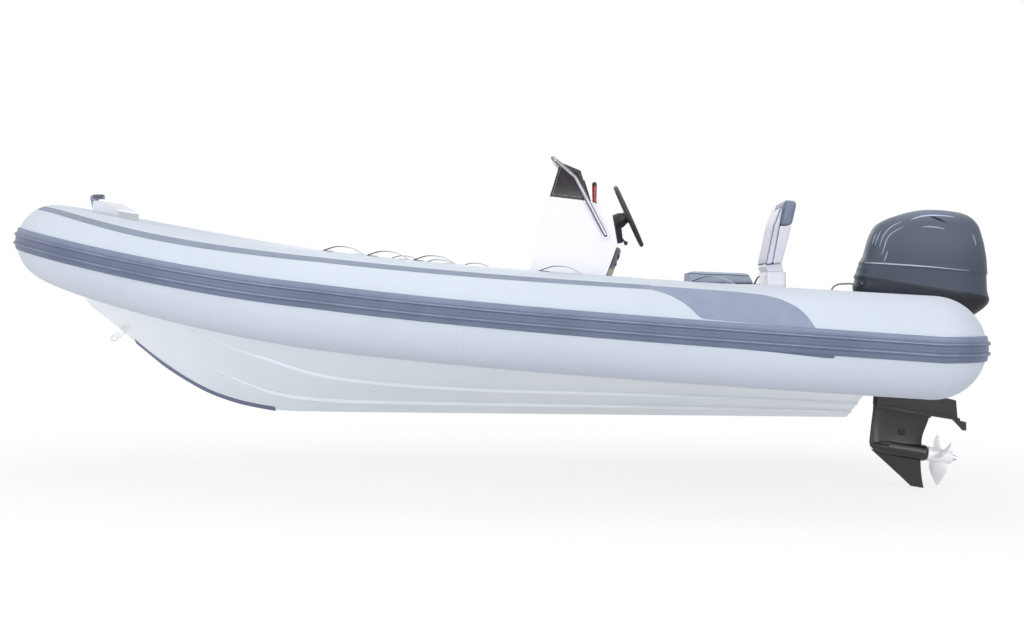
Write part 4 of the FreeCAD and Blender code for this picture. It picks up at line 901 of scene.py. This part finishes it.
repaint(tinted(), "windscreen")
print_line = worn("printed_line", rgb(150, 146, 150), 0.5, cloud=20.0)
edge_black = worn("screen_edge", rgb(20, 18, 21), 0.35, cloud=20.0)
for side, sign in SIDES:
    for name, margin, wide, near, far, ink in (("screen_line_", 0.0105, 0.0014, 0.2999, 0.3004, print_line),
                                               ("screen_edge_", 0.0004, 0.0052, 0.2996, 0.3010, edge_black)):
        rings = [[Vector((p.x, sign * y, p.y)) for p, y in ((o, near), (o, far), (i, far), (i, near))]
                 for o, i in zip(inset(SCREEN, margin), inset(SCREEN, margin + wide))]
        loft(name + side, rings + rings[:1], "boat", ink, evenly(5, 0.05), closed=False, sharp=30)
corner, crown, _, heel = [Vector((x, 0, z)) for x, z in SCREEN]
front_up = (crown - corner).normalized()
front_out = Vector((front_up.z, 0, -front_up.x))
foot = corner + front_out * 0.0012 + front_up * 0.008
spots = [(foot + Vector((0, y, 0)), front_out, PORT) for y in (-0.24, -0.12, 0.0, 0.12, 0.24)]
spots += [(corner + Vector((0, sign * 0.3012, 0.008)) + (heel - corner) * share, (0, sign, 0), FORE)
          for side, sign in SIDES for share in (0.18, 0.5, 0.82)]
small_repeats("screen_screws", spots, (0.010, 0.010, 0.004), "boat", black)


# Bow light. A red lens between black ends on a short staff; the black and navy
# mouldings at the helm get their finish here too.
def lens_red():
    """Ribbed red lens, darker between its ribs."""
    made, place, shader = stuff("lens_red", 0.18, coat=0.7)
    ridge = 1.0 - abs((place.axis("Z") * 180.0).fract() - 0.5) * 2.0
    ridge.mix(rgb(140, 36, 42), rgb(196, 60, 56)).to(shader, "Base Color")
    (ridge * 0.08 + 0.14).to(shader, "Roughness")
    ridge.bump(shader, 0.6, 0.0008)
    return made


repaint(lens_red(), "bow_light_lens")
repaint(black, "bow_light_ends", "helm_box", "control_lever", "seat_catch")
repaint(worn("navy_moulding", rgb(40, 50, 84), 0.42, cloud=16.0, grain=500.0, depth=0.0002), "control_box")


# Steering wheel. A moulded rim with a soft grip, three spokes, and a cap with a
# steel ring over the hub.
def grip():
    """Soft dark rim cover with a leather like grain, shinier where hands rub it."""
    made, place, shader = stuff("wheel_grip", 0.55)
    cloud = place.noise(14.0, 5.0)
    cloud.clouded(rgb(46, 50, 54), rgb(62, 67, 71)).to(shader, "Base Color")
    (cloud * 0.3 + 0.4).to(shader, "Roughness")
    place.node("TexVoronoi", 0, Vector=place, Scale=420.0).bump(shader, 0.5, 0.0004)
    return made


repaint(grip(), "steering_wheel")
WHEEL_AXIS = Vector((-0.910596, 0, 0.413298))
cap = facing(Vector((-0.856572, 0, 0.799626)) + WHEEL_AXIS * 0.0075, WHEEL_AXIS)
turned("wheel_cap", [(0, -0.002), (0.021, -0.002), (0.022, 0.001), (0.020, 0.0035), (0.012, 0.0052),
       (0, 0.0058)], cap, "wheel", black, 36)
turned("wheel_cap_ring", [(0.0222, -0.0015), (0.0236, -0.0015), (0.0238, 0.0008), (0.0230, 0.0016),
       (0.0222, 0.0008)], cap, "wheel", steel, 36)


# Helm seat. The cushion and the backrest pads are foam in coated cloth, sewn
# with a welt round their edges and a row of stitches beside it.
def seat_cloth(name, colour):
    """Coated seat cloth: pebbled grain, sheen where it is sat on, faint creases."""
    made, place, shader = stuff(name, 0.5, specular=0.4)
    cloud = place.noise(8.0, 6.0, 0.65)
    cloud.clouded(*around(colour, 0.08)).to(shader, "Base Color")
    (cloud * 0.24 + 0.36).to(shader, "Roughness")
    pebbles = place.node("TexVoronoi", 0, Vector=place, Scale=520.0)
    (pebbles * 0.4 + place.noise(24.0, 3.0, bend=1.2) * 1.2).bump(shader, 0.4, 0.0007)
    return made


EVEN_CELL = 0.0075
BLOW_FRAMES = 20


def cushion(name, outline, half, body, material, replaces, puff=0.006):
    """Stuffed block from an outline in X and Z, blown up as cloth; gives its skin, to lay seams on."""
    work = bmesh.new()
    near, far = [[work.verts.new((x, y, z)) for x, z in outline] for y in (-half + puff, half - puff)]
    work.faces.new(near)
    work.faces.new(far[::-1])
    for corners in zip(near, far, far[1:] + far[:1], near[1:] + near[:1]):
        work.faces.new(corners)
    bmesh.ops.recalc_face_normals(work, faces=work.faces)
    bmesh.ops.bevel(work, geom=work.edges[:], offset=0.010, segments=3, profile=0.5, affect="EDGES",
                    clamp_overlap=True)
    mesh = bpy.data.meshes.new(name)
    work.to_mesh(mesh)
    work.free()
    made = placed(name, mesh)
    fine = made.modifiers.new("even", "REMESH")
    fine.mode = "VOXEL"
    fine.voxel_size = EVEN_CELL
    even = bpy.data.meshes.new_from_object(made.evaluated_get(bpy.context.evaluated_depsgraph_get()))
    made.modifiers.clear()
    made.data = even
    air = made.modifiers.new("air", "CLOTH").settings
    for label, value in (("quality", 5), ("mass", 0.3), ("use_pressure", True),
                         ("uniform_pressure_force", 4.0), ("tension_stiffness", 20.0),
                         ("compression_stiffness", 20.0)):
        setattr(air, label, value)
    air.effector_weights.gravity = 0.0
    for step in range(1, BLOW_FRAMES + 1):
        bpy.context.scene.frame_set(step)
    blown = made.evaluated_get(bpy.context.evaluated_depsgraph_get()).data
    rest, move = [np.array([v.co for v in m.vertices]) for m in (even, blown)]
    move -= rest
    made.modifiers.clear()
    bpy.context.scene.frame_set(1)
    reach = np.linalg.norm(move, axis=1)[:, None]
    for v, at in zip(even.vertices, rest + move * np.minimum(1.0, puff / np.maximum(reach, 1e-9))):
        v.co = at
    work = bmesh.new()
    work.from_mesh(even)
    for _ in range(2):
        bmesh.ops.smooth_vert(work, verts=work.verts, factor=0.5, use_axis_x=True, use_axis_y=True,
                              use_axis_z=True)
    skin = BVHTree.FromBMesh(work)
    points = [v.co.copy() for v in work.verts]
    faces = [[v.index for v in f.verts] for f in work.faces]
    work.free()
    bpy.data.objects.remove(made)
    made = piece(name, points, faces, body, material, replaces, 180.0)
    soft = made.modifiers.new("soft", "SUBSURF")
    soft.levels = soft.render_levels = 1
    return skin


def bead(name, path, radius, body, material, closed=True, count=8):
    """Round bead along a path of points."""
    before = (path[-1:] if closed else path[:1]) + path[:-1]
    after = path[1:] + (path[:1] if closed else path[-1:])
    rings = []
    for p, a, b in zip(path, before, after):
        run = (b - a).normalized()
        side = (side - run * side.dot(run)).normalized() if rings else run.orthogonal().normalized()
        up = run.cross(side)
        rings.append([p + side * (radius * c) + up * (radius * s) for c, s in round_steps(count)])
    if closed:
        rings.append(rings[0])
    return loft(name, rings, body, material, None, evenly(count + 1, 0.004), closed=not closed, sharp=60)


def spline(points, count=14):
    """Smooth path through a few points."""
    path = []
    ends = [2 * points[0] - points[1]] + points + [2 * points[-1] - points[-2]]
    for a, b, c, d in zip(ends, ends[1:], ends[2:], ends[3:]):
        for t in [i / count for i in range(count)]:
            path.append(0.5 * ((2 * b) + (c - a) * t + (2 * a - 5 * b + 4 * c - d) * t * t
                               + (3 * b - a - 3 * c + d) * t ** 3))
    return path + [points[-1]]


def loop_of(corners, step=0.012):
    """Closed loop of evenly spaced points through corners."""
    points = []
    for a, b in zip(corners, corners[1:] + corners[:1]):
        n = max(2, int((b - a).length / step))
        points += [a.lerp(b, i / n) for i in range(n)]
    return points


grey_cloth = seat_cloth("seat_cloth_grey", rgb(150, 162, 178))
cap_cloth = seat_cloth("seat_cloth_cap", rgb(116, 126, 148))
pale_cloth = seat_cloth("seat_cloth_pale", rgb(206, 206, 216))
welt_grey = worn("welt_grey", rgb(92, 101, 120), 0.5, cloud=30.0, grain=600.0)
thread = worn("thread_pale", rgb(190, 193, 200), 0.6, cloud=60.0, grain=900.0)


def sewn(name, skin, line, half, body, radius=0.0028, side=(0, 0, 1), gap=0.009):
    """Welt round an (X, Z) line and its mirror image, laid on a skin, with a row of stitches beside it."""
    corners = [Vector((x, -half, z)) for x, z in line] + [Vector((x, half, z)) for x, z in line[::-1]]
    bead(name + "_welt", [skin.find_nearest(p)[0] for p in loop_of(corners)], radius, body, welt_grey)
    path = [skin.find_nearest(p)[0] for p in loop_of([c - Vector(side) * gap for c in corners], 0.0075)]
    laid = [skin.find_nearest(p)[:2] for p in path]
    rows = [(p + n * 0.0004, n, ahead - p) for (p, n), (ahead, _) in zip(laid, laid[1:] + laid[:1])]
    small_repeats(name + "_stitches", rows, (0.0045, 0.0011, 0.0010), body, thread)


SEAT_LINE = [(-1.500, 0.4395), (-1.1555, 0.4395), (-1.1555, 0.5005), (-1.4735, 0.4880)]
KNUCKLE = [(0.0031, -0.0115), (0.007, -0.0115), (0.007, 0.0115), (0.0031, 0.0115), (0.0031, -0.0115)]
skin = cushion("helm_cushion", SEAT_LINE, 0.240, "seat_lid", grey_cloth, ["seat_cushion"])
sewn("helm_cushion_top", skin, [(-1.4735, 0.4870), (-1.1565, 0.4990)], 0.238, "seat_lid")
slab("helm_cushion_board", (-1.497, -0.236, 0.4383), (-1.159, 0.236, 0.4425), "seat_lid", black,
     0.0015, 2)
for side, sign in SIDES:
    y = sign * 0.144
    turned("seat_knuckle_" + side, KNUCKLE, facing((-1.147, y, 0.442), PORT), "seat_lid", steel, 24)
    slab("seat_leaf_" + side, (-1.180, y - 0.0113, 0.4405), (-1.150, y + 0.0113, 0.4432), "seat_lid",
         steel, 0.0006, 2)

BACK = -1.660
REST = 0.500


def at_back(*line):
    """Backrest line in the boat's frame."""
    return [(BACK + x, REST + z) for x, z in line]


line = at_back((0.030, 0.2375), (0.006, 0.372), (-0.052, 0.364), (-0.0245, 0.2375))
skin = cushion("backrest_head", line, 0.221, "boat", cap_cloth, ["backrest_cap"], 0.005)
line = at_back((0.030, 0.245), (0.006, 0.370))
sewn("backrest_head_front", skin, line, 0.219, "boat", 0.0024, AFT, -0.009)
line = at_back((0.069, 0.0425), (0.0335, 0.236), (0.0155, 0.340), (0.027, 0.340), (0.065, 0.241),
               (0.106, 0.036))
skin = cushion("backrest_front", line, 0.2165, "boat", pale_cloth, ["backrest_pad"], 0.004)
line = at_back((0.106, 0.044), (0.066, 0.243), (0.029, 0.337))
sewn("backrest_front_edge", skin, line, 0.215, "boat", 0.0022, AFT, -0.008)
shell_pale = worn("backrest_shell_pale", rgb(208, 208, 220), 0.36, coat=0.2, cloud=10.0, grain=500.0,
                  depth=0.0001, spread=0.03)
repaint(shell_pale, "backrest_shell", "backrest_foot")
spots = [((BACK + 0.0195, y, REST + 0.075), (-0.98, 0, 0.1), PORT) for y in (-0.17, 0.0, 0.17)]
small_repeats("backrest_screws", spots, (0.011, 0.011, 0.004), "boat", steel)

# Outboard engine. Everything below is drawn in the engine's own upright frame,
# aft as minus X, and put on the boat at its trim by one matrix.
ENGINE = Matrix.Translation((-1.990, 0.0, 0.293)) @ Matrix.Rotation(math.radians(-9.0), 4, "Y")
ENGINE_TURN = ENGINE.to_3x3()
# Height, front, rear and half width of the upper cover, in millimetres.
COVER = [(190.6, -20, -703, 172), (235, -23, -692, 170), (308, -46, -677, 165), (383, -54, -661, 158),
         (430, -64, -646, 151), (467, -80, -633, 143), (505, -121, -616, 130), (540, -183, -599, 113),
         (570, -250, -572, 88), (590, -320, -540, 60), (601, -400, -500, 24)]
COVER_POWER = 2.7
CREASE = smooth_table([(0.0, 260.0), (42.0, 264.0), (195.0, 276.0), (367.0, 290.0), (559.0, 303.0),
                       (720.0, 310.0)])


def cover_span(z):
    """Middle, half length and half width of the cover at a height, by smooth steps between its rows."""
    i = max(k for k in range(len(COVER) - 1) if COVER[k][0] <= z)
    a, b = COVER[i], COVER[i + 1]
    before, after = COVER[max(i - 1, 0)], COVER[min(i + 2, len(COVER) - 1)]
    span = b[0] - a[0]
    u = (z - a[0]) / span
    found = []
    for k in range(1, len(a)):
        chord = (b[k] - a[k]) / span
        left = (a[k] - before[k]) / (a[0] - before[0]) if i else chord
        right = (after[k] - b[k]) / (after[0] - b[0]) if after is not b else chord
        m0, m1 = [0.0 if m * chord <= 0 else 2.0 * m * chord / (m + chord) for m in (left, right)]
        found.append(a[k] * (1 - u) ** 2 * (1 + 2 * u) + b[k] * u * u * (3 - 2 * u)
                     + span * m0 * u * (1 - u) ** 2 - span * m1 * u * u * (1 - u))
    front, rear, half = found
    return 0.5 * (front + rear), 0.5 * (front - rear), half


def eased(share):
    """Share from 0 to 1, held inside these and eased at both ends."""
    share = min(1.0, max(0.0, share))
    return share * share * (3 - 2 * share)


def cover_point(z, a, lift=0.0):
    """Point of the engine cover in metres, by height in millimetres and angle, with its crease."""
    middle, reach, half = cover_span(z)
    x = reach * signed_power(math.cos(a), 2.0 / COVER_POWER)
    y = half * signed_power(math.sin(a), 2.0 / COVER_POWER)
    line = CREASE(-(middle + x))
    back = (z - 193.0) / 26.0
    tuck = 4.2 * eased((line - z) / 9.0) * eased(back)
    brow = 1.4 * math.exp(-((z - line - 6.0) / 9.0) ** 2) * min(1.0, max(0.0, back))
    grow = 1.0 + (lift - tuck + brow) / max(math.hypot(x, y), 1.0)
    return ENGINE @ Vector(((middle + x * grow) / 1000, y * grow / 1000, z / 1000))


def cowl_paint_shaded_by_height(name, top, middle, foot, low, high):
    """Metallic lacquer with fine flake and polish haze; its colour is painted light and shade by height, paler
    at the top and darker towards the foot.
    """
    made, place, shader = stuff(name, 0.42, specular=0.18)
    height, cloud = place.axis("Z"), place.noise(5.0, 5.0)
    # Painted light and shade: the colour steps from the foot colour up to the middle one and on to the top one
    # by height.
    base = height.ramp(high, high + 0.13).mix(height.ramp(low, high).mix(foot, middle), top)
    ((place.noise(1100.0, 1.0) - 0.5) * 0.3 + 0.04).mix(base, rgb(150, 156, 170)).to(shader, "Base Color")
    (cloud * 0.12 + 0.36).to(shader, "Roughness")
    cloud.bump(shader, 0.2, 0.0006)
    return made


slate = cowl_paint_shaded_by_height("cowl_slate_shaded_by_height", rgb(132, 140, 157), rgb(83, 91, 104), rgb(66, 73, 86), 0.48, 0.74)
foot, crown = COVER[0][0], COVER[-1][0]
spins = [2 * math.pi * j / 128 for j in range(128)]
steps = np.linspace(0.0, 1.0, 85)
rings = [[cover_point(foot + (crown - foot) * s, a) for a in spins] for s in steps]
us = evenly(len(rings), 0.005)
loft("engine_cover", rings, "engine", slate, us, replaces=["top_cowl"], sharp=50.0)


def side_of_cover(aft, up, lift, sign):
    """Point on the side of the cover at so far aft and up, in millimetres."""
    middle, reach, _ = cover_span(up)
    share = max(-0.999, min(0.999, (-aft - middle) / reach))
    return cover_point(up, sign * math.acos(signed_power(share, COVER_POWER / 2.0)), lift)


def cover_strip(name, rows, material, lift=0.7):
    """Thin strip on both sides of the cover through rows of (aft, up) points, in millimetres."""
    for side, sign in SIDES:
        rings = [[side_of_cover(aft, up, lift, sign) for aft, up in row]
                 + [side_of_cover(aft, up, -0.8, sign) for aft, up in row[::-1]] for row in rows]
        loft(f"{name}_{side}", rings, "engine", material, None, evenly(len(rings[0]) + 1, 0.002),
             sharp=40)


def upright(aft, low, high):
    """Five (aft, up) points from low to high."""
    return [(aft, low + (high - low) * k / 4) for k in range(5)]


creases, slots = [], []
for s in [i / 60.0 for i in range(61)]:
    low = CREASE(46 + 510 * s) + 0.5
    tall = (9.0 - 5.5 * s) * math.sin(math.pi * (0.04 + 0.92 * s)) ** 0.4
    creases.append(upright(46 + 510 * s, low, low + tall))
for s in [i / 20.0 for i in range(21)]:
    mid, swell = 552 - 20 * s ** 1.6, math.sin(math.pi * (0.06 + 0.88 * s))
    slots.append(upright(328 + 80 * s, mid - 9.0 * swell, mid + 5.0 * swell))
cover_strip("crease_line", creases,
            worn("crease_silver", rgb(164, 168, 182), 0.34, metal=0.2, cloud=12.0))
# The air slot is a dark strip laid on the cover with no opening behind it: painted shade that stands for the
# slot.
cover_strip("air_slot", slots, worn("air_slot_painted_shade", rgb(16, 17, 26), 0.7, cloud=20.0), 0.5)
# Painted highlights: paler strokes on the cover where reflections of the overhead lamps fall, on its front
# shoulder, along its top edge, on its side and near its aft end.
painted_highlight_grey = worn("painted_highlight_grey", rgb(148, 155, 176), 0.34, cloud=9.0)
painted_highlight_pale = worn("painted_highlight_pale", rgb(186, 190, 216), 0.34, cloud=9.0)
for name, half, finish, path in (
    ("highlight_stroke_0", 2.6, painted_highlight_grey, [(201, 478), (173, 458), (142, 427), (127, 393), (122, 355), (115, 316)]),
    ("highlight_stroke_1", 2.4, painted_highlight_grey, [(190, 502), (152, 477), (122, 440), (107, 401), (100, 357)]),
    ("highlight_stroke_2", 2.2, painted_highlight_grey, [(97, 443), (87, 404), (80, 362)]),
    ("highlight_stroke_3", 2.0, painted_highlight_grey, [(80, 428), (73, 398), (68, 366)]),
    ("highlight_stroke_4", 2.4, painted_highlight_grey, [(140, 341), (136, 312), (131, 283)]),
    ("top_gleam", 3.4, painted_highlight_pale, [(236, 521), (284, 545), (332, 558), (392, 566), (452, 569)]),
    ("side_gleam", 4.0, painted_highlight_grey, [(291, 489), (341, 498), (406, 497)]),
    ("aft_gleam", 3.0, painted_highlight_grey, [(552, 492), (566, 465), (576, 438)]),
):
    line = spline([Vector(p) for p in path], 8)
    last = len(line) - 1
    rows = []
    for i, p in enumerate(line):
        run = (line[min(i + 1, last)] - line[max(i - 1, 0)]).normalized()
        taper = Vector((-run.y, run.x)) * half * (0.15 + 0.85 * math.sin(math.pi * i / last) ** 0.6)
        rows.append([p + taper, p, p - taper])
    cover_strip(name, rows, finish)

# Seal between the covers, the lower cover, and its latches. The seal is a dark
# band that drops a little towards its aft end.
SEAL_MIDDLE, SEAL_REACH, SEAL_HALF = -361.5, 341.5, 171.0
rings = [[ENGINE @ Vector(((SEAL_MIDDLE + (SEAL_REACH + grow) * signed_power(math.cos(a), 0.72)) / 1000,
                           (SEAL_HALF + grow) * signed_power(math.sin(a), 0.72) / 1000,
                           (z - 3.0 * (1.0 - math.cos(a))) / 1000)) for a in spins]
         for z, grow in ((185.6, -3.0), (185.9, 1.4), (196.6, 1.4), (196.9, -3.0))]
seal_navy = worn("seal_navy", rgb(34, 38, 50), 0.5, cloud=12.0)
loft("cover_seal", rings, "engine", seal_navy, evenly(4, 0.002), sharp=30)
slate_low = cowl_paint_shaded_by_height("cowl_slate_low", rgb(48, 53, 64), rgb(46, 51, 61), rgb(24, 26, 31), 0.34, 0.46)
repaint(slate_low, "bottom_cowl")
for side, sign in SIDES:
    out = ENGINE_TURN @ Vector((0.762, sign * 0.647, 0.0))
    at = facing(ENGINE @ Vector((-0.047, sign * 0.0996, 0.157)), out)
    slab("latch_" + side, (-0.016, -0.012, -0.006), (0.016, 0.012, 0.006), "engine", black,
         0.0025, 3, at)
    spots = [(at @ Vector((0.0, 0.0, 0.006)), out, (0, 0, 1))]
    small_repeats("latch_pin_" + side, spots, (0.008, 0.008, 0.004), "engine", steel)


# Leg, gearcase and brackets. Cast and painted a satin charcoal; bolts hold
# them, bars cross the water inlets and a zinc block sits below the plate.
def casting(name, colour):
    """Painted casting: fine sand grain, worn paler on raised spots, and a salt haze."""
    made, place, shader = stuff(name, 0.34, coat=0.15)
    cloud, sand = place.noise(7.0, 6.0, 0.7), place.noise(320.0, 3.0)
    base = cloud.clouded(*around(colour, 0.15))
    (sand.ramp(0.62, 0.8) * 0.1).mix(base, rgb(150, 152, 160)).to(shader, "Base Color")
    (cloud * 0.26 + 0.2).to(shader, "Roughness")
    sand.bump(shader, 0.45, 0.0003)
    return made


charcoal = casting("leg_charcoal", rgb(24, 24, 30))
zinc = worn("zinc", rgb(150, 154, 158), 0.6, metal=0.6, cloud=40.0, grain=300.0, depth=0.0003, spread=0.12)
repaint(charcoal, "clamp_bracket", "swivel_bracket", "steering_yoke", "midsection", "lower_unit", "trim_tab")
for side, sign in SIDES:
    y = sign * 0.0205
    for k in range(5):
        z = -0.5875 + 0.0068 * k
        slab(f"inlet_bar_{side}_{k}", (-0.401, y - 0.0035, z), (-0.363, y + 0.0035, z + 0.0024), "engine",
             black, 0.0006, 2, ENGINE)
slab("leg_fairing", (-0.262, -0.022, -0.4650), (-0.2235, 0.022, -0.4530), "engine", charcoal,
     0.004, 3, ENGINE)
slab("anode", (-0.305, -0.016, -0.4725), (-0.245, 0.016, -0.4635), "engine", zinc, 0.002, 2, ENGINE)
# Along, out and up from the engine's own middle.
BOLTS = ((-0.240, 0.0325, -0.375), (-0.300, 0.0342, -0.435), (-0.400, 0.0342, -0.375),
         (-0.560, 0.0342, -0.385))
spots = [(ENGINE @ Vector((x, sign * y, z)), ENGINE_TURN @ Vector((0, sign, 0)), FORE)
         for sign in (-1, 1) for x, y, z in BOLTS]
small_repeats("casing_bolts", spots, (0.013, 0.013, 0.007), "engine", charcoal)
spots = [((-2.030, sign * 0.1165, z), (0, sign, 0), FORE) for sign in (-1, 1) for z in (0.02, 0.11, 0.20)]
small_repeats("clamp_bolts", spots, (0.016, 0.016, 0.009), "boat", steel)

# Propeller. Three painted blades on a hub; its splined shaft with the nut has
# the steel of the other fittings.
repaint(worn("propeller_white", rgb(246, 246, 248), 0.3, coat=0.4, cloud=14.0, grain=300.0, depth=0.0002,
             spread=0.04), "propeller")

# Rigging. A grey sleeve with the engine's cables rises from the sole, over the
# transom and into the front of the lower cover, slack enough to turn and tilt.
sleeve = trim_cloth("rigging_sleeve", rgb(122, 124, 132), 0.55)
route = [Vector(p) for p in ((-1.885, 0.165, 0.098), (-1.887, 0.165, 0.250), (-1.890, 0.164, 0.370),
                             (-1.900, 0.160, 0.416), (-1.930, 0.149, 0.437), (-1.972, 0.131, 0.440))]
rise = bead("rigging_sleeve_fore", spline(route), 0.0045, None, sleeve, closed=False, count=14)
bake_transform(rise)
route = [Vector(p) for p in ((-1.970, 0.132, 0.440), (-1.990, 0.119, 0.441), (-2.012, 0.101, 0.438),
                             (-2.034, 0.082, 0.430))]
rise = bead("rigging_sleeve_aft", spline(route), 0.0045, None, sleeve, closed=False, count=14)
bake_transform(rise)

# Bounds of the dressed model.
low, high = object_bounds()
